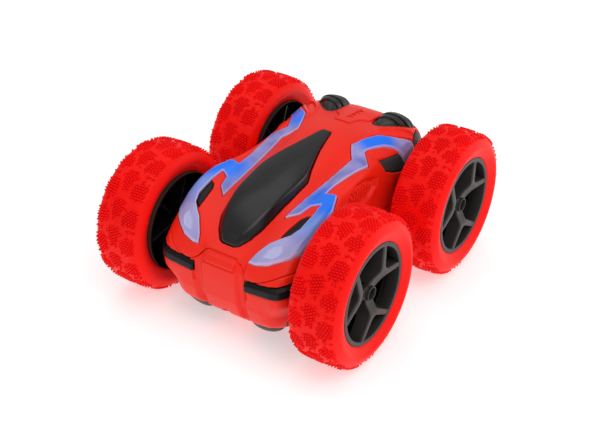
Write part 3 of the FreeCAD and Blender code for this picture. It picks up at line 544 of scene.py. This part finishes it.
def hump_field():
    """A domed nose and two plates that step up behind it, split by slanting grooves."""
    stations, crest = zip(*HUMP_CREST)
    top = through(stations, crest, X[:, 0, 0])[:, None, None]
    grooves = [X + x + slant * (Y - 16) for x, slant in HUMP_GROOVES]
    plates = sum(rise * smoothstep(0.3, -0.3, groove) for rise, groove in zip(HUMP_STEPS, grooves))
    roof = (Z - top) * HUMP_STEEPNESS + HUMP_ARCH * (Y - HUMP_MIDDLE) ** 2
    dome = smooth_max(from_above(HUMP), roof, HUMP_EDGE)
    field = dome + HUMP_SUNK - plates
    for groove in grooves:
        field = carved(field, np.abs(groove) / 1.2 - HUMP_GROOVE_HALF, -(dome + HUMP_GROOVE_DEPTH))
    floor = smooth_max(skin(-HUMP_SUNK), PANELS["hump"] + GAP, 0.4)
    return np.minimum(np.maximum(field, HUMP_FLOOR - Z), floor)


def bumper_field():
    """Black strips round the corners of the tail, with a sloping facet towards the joint."""
    slope = np.clip((BUMPER_EDGE - Z) / (BUMPER_EDGE - BUMPER_TOP), 0, 1)
    raised = BUMPER_PROUD - BUMPER_FACET * slope
    field = smooth_max(np.maximum(BODY - raised, -(BODY + BUMPER_WALL)), BUMPER + GAP, PANEL_EDGE)
    return smooth_max(field, SPLIT + GAP, 0.4)


def with_lower_openings(field):
    """Screw wells, switch slot and charging opening of the underside, in the place they turn from."""
    seat = 2 * AXIS_Z - SCREW_SEAT_Z
    for x, y in SCREW_POSTS:
        radius = np.hypot(X + x, ACROSS - y)
        foot = np.maximum(seat - SEAT_THICKNESS - Z, BODY + 0.4)
        field = np.minimum(field, np.maximum(radius - WELL_RADIUS - WELL_WALL, foot))
        field = carved(field, radius - WELL_RADIUS, seat - Z)
        field = carved(field, radius - SCREW_HOLE, seat - SCREW_DEPTH - Z)
    for (x, y), (half_x, half_y) in SLOTS:
        field = carved(field, np.abs(X + x) - half_x, np.abs(ACROSS - y) - half_y, HATCH_FLOOR - Z)
    return field


# ---- materials ----
MOTTLE_SCALE, GRAIN_SCALE, GRAIN_DEPTH = 60, 1800, 0.0001  # noise scales, and depth in metres


def material(name, colour, roughness, specular=0.5):
    """A principled material and its node tree."""
    mat = bpy.data.materials.new(name)
    mat.use_nodes = True
    shader = mat.node_tree.nodes["Principled BSDF"]
    shader.inputs["Base Color"].default_value = (*colour, 1)
    shader.inputs["Roughness"].default_value = roughness
    shader.inputs["Specular IOR Level"].default_value = specular
    return mat, mat.node_tree, shader


def node(tree, kind, inputs, output, **settings):
    """An output of a new node, whose inputs are set to values or linked to other nodes' outputs."""
    made = tree.nodes.new("ShaderNode" + kind)
    for name, value in settings.items():
        setattr(made, name, value)
    for key, value in inputs.items():
        if isinstance(value, bpy.types.NodeSocket):
            tree.links.new(value, made.inputs[key])
        else:
            made.inputs[key].default_value = value
    return made.outputs[output]


def noise(tree, scale, detail=2.0, stretch=(1, 1, 1)):
    """Noise that rides with the object."""
    place = node(tree, "TexCoord", {}, "Object")
    place = node(tree, "Mapping", {"Vector": place, "Scale": stretch}, "Vector")
    return node(tree, "TexNoise", {"Vector": place, "Scale": scale, "Detail": detail}, "Fac")


def colour_ramp(tree, factor, stops):
    """Colours by a factor, from (place, colour) stops."""
    ramp = tree.nodes.new("ShaderNodeValToRGB")
    while len(ramp.color_ramp.elements) < len(stops):
        ramp.color_ramp.elements.new(0.5)
    for element, (place, colour) in zip(ramp.color_ramp.elements, stops):
        element.position = place
        element.color = (*colour, 1)
    tree.links.new(factor, ramp.inputs["Fac"])
    return ramp.outputs["Color"]


def mottled(tree, shader, colour, amount, scale):
    """Slight colour variation, as in moulded plastic."""
    dark = tuple(c * (1 - amount) for c in colour)
    light = tuple(min(1, c * (1 + amount)) for c in colour)
    shades = colour_ramp(tree, noise(tree, scale), [(0.3, dark), (0.7, light)])
    tree.links.new(shades, shader.inputs["Base Color"])


def grained(tree, shader, strength):
    """The fine moulded grain, as bump."""
    height = noise(tree, GRAIN_SCALE, 3.0)
    normal = node(tree, "Bump", {"Height": height, "Strength": strength, "Distance": GRAIN_DEPTH}, "Normal")
    tree.links.new(normal, shader.inputs["Normal"])


def plastic(name, colour, roughness, grain=0.15, amount=0.05, specular=0.5):
    mat, tree, shader = material(name, colour, roughness, specular)
    mottled(tree, shader, colour, amount, MOTTLE_SCALE)
    grained(tree, shader, grain)
    return mat


def near(tree, position, centre, reach):
    """1 within the first reach of a centre, falling to 0 at the second, in metres."""
    distance = node(tree, "VectorMath", {0: position, 1: centre}, "Value", operation="DISTANCE")
    ends = {"From Min": reach[0], "From Max": reach[1], "To Min": 1, "To Max": 0}
    return node(tree, "MapRange", {"Value": distance, **ends}, "Result", interpolation_type="SMOOTHSTEP")


def mixed(tree, factor, colour, other):
    """A colour output turned towards another, fixed colour."""
    inputs = {"Factor": factor, "A": colour, "B": (*other, 1)}
    return node(tree, "Mix", inputs, "Result", data_type="RGBA")


LILAC, PALE_LILAC, AZURE = (0.17, 0.17, 0.52), (0.37, 0.36, 0.66), (0.0, 0.18, 0.97)
# The pale pink of the strips' edges is a painted highlight.
SKY, EDGE_HIGHLIGHT_PINK, REFLECTOR_PALE = (0.15, 0.27, 0.74), (0.72, 0.50, 0.72), (0.50, 0.52, 0.82)
LILACS = [(0.35, LILAC), (0.52, (0.26, 0.25, 0.60)), (0.7, (0.34, 0.30, 0.63))]
GLOWS = [  # place in metres, inner and outer reach, and colour
    ((0.062, 0.024, 0), (0.004, 0.018), PALE_LILAC),  # headlamp
    ((0.040, 0.032, 0), (0.003, 0.016), SKY),  # its root
    ((0.024, 0.031, 0), (0.007, 0.017), AZURE),  # knot
    ((-0.030, 0.023, 0), (0.006, 0.014), AZURE),  # tail lamp
]


def folded_place(tree, turned_over):
    """The place on the strip of the upper left quarter: height dropped, and Y folded to one side."""
    place = node(tree, "TexCoord", {}, "Object")
    fold = node(tree, "VectorMath", {0: place}, "Vector", operation="ABSOLUTE")
    along = node(tree, "SeparateXYZ", {0: place}, "X")
    along = node(tree, "Math", {0: along, 1: -1 if turned_over else 1}, "Value", operation="MULTIPLY")
    across = node(tree, "SeparateXYZ", {0: fold}, "Y")
    return node(tree, "CombineXYZ", {"X": along, "Y": across}, "Vector")


def strip_material(name, turned_over):
    """Lilac plastic with its glows, a paler headlamp dish and pink edges that are a painted highlight."""
    mat, tree, shader = material(name, LILAC, 0.22)
    place = folded_place(tree, turned_over)
    colour = colour_ramp(tree, noise(tree, 110), LILACS)
    for centre, reach, glow in GLOWS:
        colour = mixed(tree, near(tree, place, centre, reach), colour, glow)
    # The edge weight mixes in the painted highlight along the outline.
    for weight, tint in (("lamp", REFLECTOR_PALE), ("edge", EDGE_HIGHLIGHT_PINK)):
        colour = mixed(tree, node(tree, "Attribute", {}, "Fac", attribute_name=weight), colour, tint)
    tree.links.new(colour, shader.inputs["Base Color"])
    return mat


# colour, roughness, grain, mottling and specular of each plastic
RED = plastic("red_plastic", (0.90, 0.018, 0.006), 0.38, 0.10, 0.03, 0.24)
CANOPY_BLACK = plastic("canopy_black", (0.007, 0.007, 0.008), 0.26, 0.08, 0.1, 0.36)
TRIM_BLACK = plastic("trim_black", (0.004, 0.004, 0.005), 0.34, 0.2, 0.1, 0.2)
HUMP_BLACK = plastic("hump_black", (0.016, 0.016, 0.015), 0.36, 0.2, 0.12, 0.4)
TRIM_GREY = plastic("trim_grey", (0.036, 0.040, 0.041), 0.5, 0.25, 0.1, 0.4)
RIM_CHARCOAL = plastic("rim_charcoal", (0.030, 0.027, 0.025), 0.4, 0.15, 0.1, 0.32)
# Near black for the rim's inside and hub: painted shade for the depth behind the spokes.
RIM_PAINTED_SHADE = plastic("rim_inside_painted_shade", (0.0025, 0.0025, 0.0025), 0.6, 0.15, 0.1, 0.0)
TYRE_RED = plastic("tyre_rubber", (0.97, 0.006, 0.003), 0.45, 0.25, 0.03, 0.12)
# The pad floor between the studs is painted shade: the tyre's red darkened where the studs shade it.
PAD_SHADE_RED = plastic("pad_rubber_painted_shade", (0.80, 0.001, 0.002), 0.6, 0.3, 0.05, 0.05)
STUD_RED = plastic("stud_rubber", (0.95, 0.008, 0.008), 0.5, 0.3, 0.05, 0.15)
STRIP_UPPER = strip_material("light_strip_upper", False)
STRIP_LOWER = strip_material("light_strip_lower", True)


# ---- body pieces ----
# How strongly the strips' edges take their painted highlight, and the headlamp dish its pale tint.
EDGE_HIGHLIGHT_TINT, LAMP_TINT = 0.65, 0.8


def smooth_surface(field):
    points, quads = UPPER_SPACE.faces(field)
    return relaxed(points, quads), quads


def body_piece(node, field, mat, opened=False):
    """The upper piece and its turned copy; opened adds the underside's openings to the copy."""
    points, quads = smooth_surface(field)
    piece("upper_" + node, points, quads, [mat], "car")
    if opened:
        points, quads = smooth_surface(with_lower_openings(field))
    piece("lower_" + node, turned(points), quads, [mat], "car")


def light_strips(points, quads, level, place, mat):
    """The left and right strip of one level, with weights for the painted highlight of the edges and the
    tint of the headlamp.
    """
    left = points[quads[:, 0], 1] > 0
    for side, rows in (("_left", left), ("_right", ~left)):
        used, faces = np.unique(quads[rows], return_inverse=True)
        obj = piece(level + "light_strip" + side, place(points[used]), faces.reshape(-1, 4), [mat],
                    "car")
        x, y = points[used, 0], np.abs(points[used, 1])
        # The edge weight is the painted highlight just inside each strip's outline.
        weights = {"edge": EDGE_HIGHLIGHT_TINT * smoothstep(-0.9, -0.3, polygon_distance(STRIP, x, y)),
                   "lamp": LAMP_TINT * smoothstep(0.3, -0.2, polygon_distance(REFLECTOR, x, y))}
        for name, values in weights.items():
            attribute = obj.data.attributes.new(name, "FLOAT", "POINT")
            attribute.data.foreach_set("value", values.astype(np.float32))


body_piece("shell", shell_field(), RED, opened=True)
body_piece("canopy", canopy_field(), CANOPY_BLACK)
strips = smooth_surface(strip_field())
light_strips(*strips, "upper_", lambda points: points, STRIP_UPPER)
light_strips(*strips, "lower_", turned, STRIP_LOWER)
body_piece("windows", panel_skin("window"), TRIM_BLACK)
body_piece("hatch", hatch_field(), RED)
body_piece("fender_inserts", insert_field(), TRIM_GREY)
body_piece("exhaust_humps", hump_field(), HUMP_BLACK)
body_piece("bumper_strips", bumper_field(), TRIM_BLACK)


# ---- tyres ----
PITCHES = 16
CROWN_RADIUS = WHEEL_RADIUS - 0.95
CROWN_HALF, CROWN_FALL = 7.7, 0.004  # half width of the crown, and how fast it drops
SHOULDER = (6.15, 7.4)  # width and height of the rounded shoulder
WALL_LINE = [(13.62, 30.5), (13.45, 29.8), (12.9, 28.6), (12.2, 27.1), (11.7, 26.0), (11.35, 25.4)]
BEAD = [(11.2, 25.22), (10.4, 25.2), (6.0, 25.2)]  # offset, radius
TREAD_END = 14.6  # of the finely divided tread, along the section
GRID_STEP = 0.42
PITCH = 2 * math.pi * CROWN_RADIUS / PITCHES
PAIR = 2 * PITCH  # the pads repeat after two pitches
PAD_RISE, PAD_MARGIN = 0.05, 0.05
TOOTH, TOOTH_DEPTH = PAIR / 9, 2.4  # of the pads' jagged edges
STUD_PITCH, STUD_ROW, STUD_MARGIN, STUD_LIMIT = 1.5, 1.35, 0.25, 11.6
STUD_RISE, STUD_ROOT = 0.84, 0.15  # above the pad and sunk into it
STUD_FOOT, STUD_TOP = 0.46, 0.28  # half widths
# Tread pads of a pair: outline along the tread and across it, and direction of its rows in degrees
PADS = (
    ([(0.4, -1), (0.4, 1), (8.8, 4.8), (11.6, 3), (11.6, -3), (8.8, -4.8)], 0),
    ([(14.4, -0.6), (15, 1.6), (21.6, 4.4), (25.6, 3.4), (26.2, 0), (25, -3.6), (21.4, -4.4)], 8),
    ([(-3.8, 4.2), (0.6, 3.2), (6, 5.8), (6.6, 9.4), (4.4, 11.8), (-2.4, 11.6), (-4.8, 8.4)], 24),
    ([(8.2, 7), (9.8, 6.4), (9.8, 11.8), (7.8, 11.8)], 0),
    ([(12, 5), (14.6, 3), (20.8, 6.6), (20.4, 10.4), (17.6, 11.8), (11.6, 11.8), (11.2, 7.6)], -20),
    ([(22.2, 7.2), (24, 6.2), (23.2, 11.8), (21.8, 11.8)], 0),
    ([(-1.6, -4.4), (2.6, -3), (8, -6.6), (7.4, -11), (4.4, -11.8), (-1.6, -11.4), (-2.6, -7.6)],
     -26),
    ([(9.4, -6.8), (11.2, -6.2), (11.4, -11.8), (9.6, -11.8)], 0),
    ([(13, -3.6), (17, -3.4), (22.8, -7), (22.4, -11), (19.4, -11.8), (12.8, -11.4),
      (12.4, -6.8)], 18),
)


def pad_edge(outline, u, s):
    """Signed distance to one pad's jagged outline."""
    teeth = np.abs((u / TOOTH) % 1 - 0.5) + np.abs((s / TOOTH) % 1 - 0.5) - 0.5
    return polygon_distance(outline, u, s) + TOOTH_DEPTH * teeth + PAD_MARGIN


def tyre_half_section():
    """Offset across, radius and distance along the section, from the crown to the bead."""
    crown = [(v, CROWN_RADIUS - CROWN_FALL * v * v) for v in np.linspace(0, CROWN_HALF, 20)]
    edge, (width, height) = crown[-1][1], SHOULDER
    shoulder = [(CROWN_HALF + width * math.cos(a), edge - height * (1 - math.sin(a)))
                for a in np.linspace(math.pi / 2, 0.3, 30)[1:]]
    wall = through(range(len(WALL_LINE)), WALL_LINE, np.linspace(0, len(WALL_LINE) - 1, 16)[1:])
    line = np.vstack([crown, shoulder, wall, BEAD])
    along = np.concatenate([[0], np.cumsum(np.hypot(*np.diff(line, axis=0).T))])
    return line, along


def tyre_section():
    """The whole section from bead to bead: offset, radius and place along it from the crown."""
    line, along = tyre_half_section()
    marks = np.concatenate([np.arange(0, TREAD_END, GRID_STEP), np.linspace(TREAD_END, along[-1], 34)])
    v, r = np.interp(marks, along, line[:, 0]), np.interp(marks, along, line[:, 1])
    return [np.concatenate([sign * t[:0:-1], t]) for sign, t in ((-1, v), (1, r), (-1, marks))]


def pad_distance(u, s):
    """Distance to the nearest pad, of this pair or of the pairs beside it."""
    best = np.full(np.broadcast(u, s).shape, 1e3)
    for outline, _ in PADS:
        for shift in (-PAIR, 0, PAIR):
            best = np.minimum(best, pad_edge([(a + shift, b) for a, b in outline], u, s))
    return best


def ring(radius, across, columns):
    """Points of a closed section turned about the wheel's axis, and quads between them."""
    angle = 2 * np.pi * np.arange(columns) / columns
    points = np.stack([radius * np.cos(angle)[:, None], across + 0 * angle[:, None],
                       radius * np.sin(angle)[:, None]], axis=-1).reshape(-1, 3)
    index = np.arange(len(points)).reshape(columns, -1)
    turn = np.roll(index, -1, axis=0)
    quads = np.stack([index, turn, np.roll(turn, -1, axis=1), np.roll(index, -1, axis=1)], axis=-1)
    return points, outward(points, quads.reshape(-1, 4))


def tyre_body():
    """The tyre without its studs, and a mark on the quads that lie on a pad, which get the painted shade
    between the studs.
    """
    v, r, s = tyre_section()
    dv, dr = np.gradient(v), np.gradient(r)
    normal_v, normal_r = -dr / np.hypot(dv, dr), dv / np.hypot(dv, dr)
    columns = int(round(PAIR / GRID_STEP)) * (PITCHES // 2)
    u = (2 * np.pi * CROWN_RADIUS * np.arange(columns) / columns) % PAIR
    rise = PAD_RISE * smoothstep(0.0, 0.45, -pad_distance(u[:, None], s[None, :]))
    rise = rise * (np.abs(s) < TREAD_END - 0.1)
    points, quads = ring(r + normal_r * rise, v + normal_v * rise, columns)
    # Quads on a pad take the painted shade between the studs.
    marks = (rise + np.roll(rise, -1, 0) + np.roll(rise, -1, 1)) > 1.5 * PAD_RISE
    return points, quads, marks.ravel().astype(int)


def rotated(a, b, turn):
    return np.array([a * np.cos(turn) - b * np.sin(turn), a * np.sin(turn) + b * np.cos(turn)])


def stud_places():
    """Place along and across the tread and direction of every stud, in rows on the pads."""
    places = []
    steps = np.arange(-9, 10)
    for outline, degrees in PADS:
        turn = math.radians(degrees)
        a, b = np.meshgrid(STUD_PITCH * steps, STUD_ROW * steps, indexing="ij")
        a = a + 0.5 * STUD_PITCH * (np.arange(len(steps)) % 2)
        centre = np.mean(outline, axis=0)
        u, s = rotated(a, b, turn) + centre[:, None, None]
        inside = (pad_edge(outline, u, s) < -STUD_MARGIN) & (np.abs(s) < STUD_LIMIT)
        places += [(p, q, turn) for p, q in zip(u[inside], s[inside])]
    return np.array(places)


def studs():
    """All studs of a tyre, each a small frustum that stands square on the section."""
    line, along = tyre_half_section()
    u, s, turn = stud_places().T
    u = (u[None, :] + PAIR * np.arange(PITCHES // 2)[:, None]).ravel()
    s, turn = np.tile(s, PITCHES // 2), np.tile(turn, PITCHES // 2)
    side = np.sign(s + 1e-9)
    v0, r0, v1, r1 = (np.interp(np.abs(s) + d, along, line[:, k]) for d in (-0.05, 0.05) for k in (0, 1))
    length = np.hypot(v1 - v0, r1 - r0)
    tangent_v, tangent_r = (v1 - v0) / length, (r1 - r0) / length * side
    normal_v, normal_r = -tangent_r, tangent_v
    v, r = (v0 + v1) / 2 * side, (r0 + r1) / 2
    points = []
    for rise, half in ((PAD_RISE - STUD_ROOT, STUD_FOOT), (PAD_RISE + STUD_RISE, STUD_TOP)):
        for cu, cs in ((-1, -1), (1, -1), (1, 1), (-1, 1)):
            du, ds = rotated(cu * half, cs * half, turn)
            radius = r + normal_r * rise + tangent_r * ds
            angle = (u + du) / CROWN_RADIUS
            points.append(np.stack([radius * np.cos(angle), v + normal_v * rise + tangent_v * ds,
                                    radius * np.sin(angle)], axis=-1))
    points = np.stack(points, axis=1).reshape(-1, 3)
    corner = [(4, 5, 6, 7), (3, 2, 1, 0)] + [(i, (i + 1) % 4, (i + 1) % 4 + 4, i + 4) for i in range(4)]
    quads = (np.array(corner)[None] + 8 * np.arange(len(u))[:, None, None]).reshape(-1, 4)
    return points, outward(points, quads)


def wheel_pieces(kind, points, quads, materials, marks, smooth):
    """The same piece at all four wheels, from points about the middle line of a left wheel."""
    for end, x in (("front", AXLE_X), ("rear", -AXLE_X)):
        for side, y in (("left", 1), ("right", -1)):
            place = points * (1, y, 1) + (x, 0, AXIS_Z)
            faces = quads if side == "left" else quads[:, ::-1]
            wheel = end + "_" + side
            obj = piece(kind + wheel, place, faces, materials, "wheel_" + wheel, marks)
            obj.data.polygons.foreach_set("use_smooth", smooth)
            if kind == "rim_":
                obj.data.set_sharp_from_angle(angle=math.radians(RIM_CREASE))


def make_tyres():
    """Tyre and studs of each wheel, as one piece."""
    points, quads, marks = tyre_body()
    points, quads, part = joined([(points, quads), studs()])
    marks = np.concatenate([marks, np.full((part == 1).sum(), 2)])
    wheel_pieces("tyre_", points + (0, (TYRE_IN + TYRE_OUT) / 2, 0), quads, [TYRE_RED, PAD_SHADE_RED, STUD_RED],
                 marks, part == 0)


# ---- rims ----
SPOKES, FIRST_SPOKE = 3, 143.0  # angles of the wheel are in degrees
STEM_LENGTH, STEM_HALF, STEM_TAPER, STEM_BLEND = 11.2, 3.1, 0.55, 1.4
FORK_RADIUS, ARM_END, ARM_SPREAD = 10.6, 24.4, 30
ARM_HALF, ARM_TAPER, ARM_BLEND, SPOKE_EDGE = 1.75, 0.35, 1.6, 0.7
DISH_FRONT, DISH_BACK = (13.0, 4.0), (16.0, 5.0)  # radii between which the spokes fall back to the hub
SPOKE_FRONT, SPOKE_BACK, FRONT_FALL, BACK_FALL, SPOKE_DRAFT = 0.15, 7, 2.5, 3, 0.05
HUB_RING_OUT, HUB_RING_IN, HUB_RING_DROP = 3.6, 2.95, 0.9
RIBS, RIB_LOW, RIB_HIGH = 6, (4.6, RIM_BACK + 4.0, -0.6), (23.8, RIM_BACK + 12.0, 0.6)
BOX_SIDES = [(0, 1, 3, 2), (4, 6, 7, 5), (0, 4, 5, 1), (2, 3, 7, 6), (0, 2, 6, 4), (1, 5, 7, 3)]
SPOKE_REACH = 24.2  # of their volume, which ends inside the barrel
RIM_CREASE = 38


def lathe(section, columns=144):
    """A closed section of (y, radius) points turned about the wheel's axis."""
    across, radius = np.array(section).T
    return ring(radius, across, columns)


def segment_distance(u, w, start, end):
    """Distance to a segment, and how far along it the nearest point is."""
    du, dw = end[0] - start[0], end[1] - start[1]
    t = np.clip(((u - start[0]) * du + (w - start[1]) * dw) / (du * du + dw * dw), 0, 1)
    return np.hypot(u - start[0] - t * du, w - start[1] - t * dw), t


def at_angle(radius, degrees):
    return radius * math.cos(math.radians(degrees)), radius * math.sin(math.radians(degrees))


def spokes():
    """Three forked spokes, dished towards the hub, with the raised ring of the hub."""
    space = Space((-SPOKE_REACH, RIM_FACE - 13, -SPOKE_REACH), (SPOKE_REACH, RIM_FACE + 1, SPOKE_REACH),
                  0.34)
    u, w, y = space.x[:, 0, :], space.z[0], space.y
    plan = np.full(np.broadcast(u, w).shape, 1e3)
    for i in range(SPOKES):
        middle = FIRST_SPOKE + 360 * i / SPOKES
        stem, t = segment_distance(u, w, (0, 0), at_angle(STEM_LENGTH, middle))
        plan = smooth_min(plan, stem - (STEM_HALF - STEM_TAPER * t), STEM_BLEND)
        for spread in (-ARM_SPREAD, ARM_SPREAD):
            fork, end = at_angle(FORK_RADIUS, middle), at_angle(ARM_END, middle + spread)
            arm, t = segment_distance(u, w, fork, end)
            plan = smooth_min(plan, arm - (ARM_HALF - ARM_TAPER * t), ARM_BLEND)
    radius = np.hypot(u, w)
    front = RIM_FACE - SPOKE_FRONT - FRONT_FALL * smoothstep(*DISH_FRONT, radius)
    back = RIM_FACE - SPOKE_BACK - BACK_FALL * smoothstep(*DISH_BACK, radius)
    plan, radius, front, back = (t[:, None, :] for t in (plan, radius, front, back))
    field = smooth_max(plan - SPOKE_DRAFT * (front - y), (y - front) * 0.96, SPOKE_EDGE)
    field = carved(np.maximum(field, back - y), radius - HUB_RING_OUT, RIM_FACE - 5.0 - y)
    ring_top = y - (RIM_FACE - HUB_RING_DROP)
    field = np.minimum(field, smooth_max(radius - HUB_RING_OUT, ring_top, 0.3))
    field = np.maximum(field, HUB_RING_IN - radius)
    points, quads = space.faces(np.maximum(field, space.low[1] + 1 - y))
    return relaxed(points, quads, 1), quads


def inner_ribs():
    """Radial plates between the hub and the barrel, seen from the car's side."""
    low, high = np.array(RIB_LOW), np.array(RIB_HIGH)
    box = low + np.array([(x, y, z) for x in (0, 1) for y in (0, 1) for z in (0, 1)]) * (high - low)
    parts = []
    for i in range(RIBS):
        c, s = at_angle(1, FIRST_SPOKE + 360 * i / RIBS + 30)
        points = box @ np.array([(c, 0, -s), (0, 1, 0), (s, 0, c)]).T
        parts.append((points, outward(points, np.array(BOX_SIDES))))
    return joined(parts)[:2]


def make_rims():
    """Barrel, spokes, inside, hub and inner ribs of each rim, as one piece; the inside, with its disc
    behind the spokes, and the hub are near black with painted shade.
    """
    face, back = RIM_FACE, RIM_BACK
    barrel = lathe([(back, RIM_RADIUS), (back + 0.4, RIM_RADIUS), (face - 0.35, RIM_RADIUS),
                    (face - 0.08, RIM_RADIUS - 0.1), (face, RIM_RADIUS - 0.35), (face, 23.15),
                    (face - 0.1, 22.95), (face - 0.4, 22.85), (face - 2.0, 22.9), (face - 5.8, 22.5),
                    (face - 6.0, 22.6), (face - 6.1, 23.1)])
    # The inside closes behind the spokes with a disc, a dark sheet that stands for the shade inside the
    # wheel.
    inside = lathe([(face - 6.05, 23.1), (face - 6.0, RIM_RADIUS - 0.3), (back + 0.3, RIM_RADIUS - 0.3),
                    (back, RIM_RADIUS - 0.5), (back, 23.9), (back + 0.4, 23.6), (face - 13.6, 23.4),
                    (face - 13.6, 4.0), (face - 12.4, 4.0), (face - 12.4, 23.3), (face - 6.4, 23.3)])
    hub = lathe([(back, 1.6), (back, 4.0), (back + 0.3, 4.3), (face - 5.2, 4.3), (face - 5.2, 1.6)], 64)
    points, quads, part = joined([barrel, spokes(), inside, hub, inner_ribs()])
    # Mark 1, the inside and the hub, takes the painted shade.
    marks = np.array([0, 0, 1, 1, 2])[part]
    wheel_pieces("rim_", points, quads, [RIM_CHARCOAL, RIM_PAINTED_SHADE, TRIM_BLACK], marks,
                 part < 4)


make_tyres()
make_rims()


# ---- carried-over parts ----
def metal(name, colour, roughness):
    """Brushed or turned metal with fine streaks."""
    mat, tree, shader = material(name, colour, roughness)
    shader.inputs["Metallic"].default_value = 1.0
    streaks = noise(tree, 400, 2.0, (1, 1, 30))
    levels = [(0.2, (roughness * 0.7,) * 3), (0.8, (roughness * 1.3,) * 3)]
    tree.links.new(colour_ramp(tree, streaks, levels), shader.inputs["Roughness"])
    mottled(tree, shader, colour, 0.08, 200)
    return mat


def finish_nodes(mat, *beginnings):
    """Gives a material to the CAD nodes whose names begin so."""
    for name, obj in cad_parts.items():
        if name.startswith(beginnings):
            if not obj.material_slots:
                obj.data.materials.append(mat)
            for material_slot in obj.material_slots:
                material_slot.material = mat


STEEL = metal("steel", (0.62, 0.62, 0.64), 0.3)
DARK_STEEL = metal("blackened_steel", (0.05, 0.05, 0.055), 0.35)
BRONZE = metal("sintered_bronze", (0.55, 0.34, 0.16), 0.4)
finish_nodes(plastic("nylon_white", (0.75, 0.74, 0.68), 0.45), "axle_gear", "idler_gear", "drive_gear")
finish_nodes(plastic("frame_black", (0.022, 0.022, 0.023), 0.5, 0.25, 0.12), "chassis_frame",
             "gearbox_cover")
finish_nodes(STEEL, "axle_front", "axle_rear", "gear_pins", "motor_", "shell_screws", "charge_socket")
finish_nodes(DARK_STEEL, "wheel_screw")
finish_nodes(BRONZE, "axle_bushes")
finish_nodes(plastic("battery_wrap", (0.03, 0.09, 0.36), 0.3, 0.1, 0.08), "battery_pack")
finish_nodes(plastic("solder_mask", (0.015, 0.13, 0.05), 0.35, 0.1, 0.25), "circuit_board", "lamp_boards")
finish_nodes(plastic("switch_black", (0.02, 0.02, 0.02), 0.45, 0.25, 0.1), "power_switch", "switch_slider")


# ---- floor, light and camera, in metres ----
FLOOR_SIZE, FLOOR_GLOW, WORLD_LIGHT = 6, 0.45, 0.5
LIGHTS = [  # name, place, size and power in watts
    ("key", (0.3, 0.6, 0.9), (0.7, 0.7), 3.5),
    ("top", (-0.1, -0.2, 1.1), (1.0, 1.0), 3.0),
    ("front", (0.9, -0.2, 0.5), (0.6, 0.6), 0.25),
    ("side", (-0.8, 0.8, 0.34), (0.5, 0.4), 1.6),
]
LIGHT_TARGET = (0, 0, 0.03)
CAMERA_PLACE, LENS, SENSOR = (0.417197, 0.276215, 0.359404), 72.46, 36
CAMERA_TILT, CAMERA_ROLL, CAMERA_TURN = 56.517, 0.31, 123.87  # degrees


def stage():
    bpy.ops.mesh.primitive_plane_add(size=FLOOR_SIZE, location=(0, 0, 0))
    floor = bpy.context.object
    floor.name = "floor"
    mat, _, shader = material("floor_white", (0.8, 0.8, 0.8), 0.7, 0.1)
    shader.inputs["Emission Color"].default_value = (1, 1, 1, 1)
    shader.inputs["Emission Strength"].default_value = FLOOR_GLOW
    floor.data.materials.append(mat)
    world = bpy.data.worlds.new("studio")
    world.use_nodes = True
    background = world.node_tree.nodes["Background"].inputs
    background["Color"].default_value = (1, 1, 1, 1)
    background["Strength"].default_value = WORLD_LIGHT
    bpy.context.scene.world = world
    bpy.context.scene.view_settings.view_transform = "Standard"


def area_light(name, place, size, power):
    light = bpy.data.lights.new(name, "AREA")
    light.shape = "RECTANGLE"
    light.size, light.size_y = size
    light.energy = power
    obj = linked(name, light)
    obj.location = place
    obj.rotation_euler = (Vector(LIGHT_TARGET) - Vector(place)).to_track_quat("-Z", "Y").to_euler()


def camera():
    data = bpy.data.cameras.new("camera")
    data.lens, data.sensor_width, data.sensor_fit = LENS, SENSOR, "HORIZONTAL"
    obj = linked("camera", data)
    obj.location = CAMERA_PLACE
    obj.rotation_euler = [math.radians(angle) for angle in (CAMERA_TILT, CAMERA_ROLL, CAMERA_TURN)]
    bpy.context.scene.camera = obj


stage()
for light_row in LIGHTS:
    area_light(*light_row)
camera()
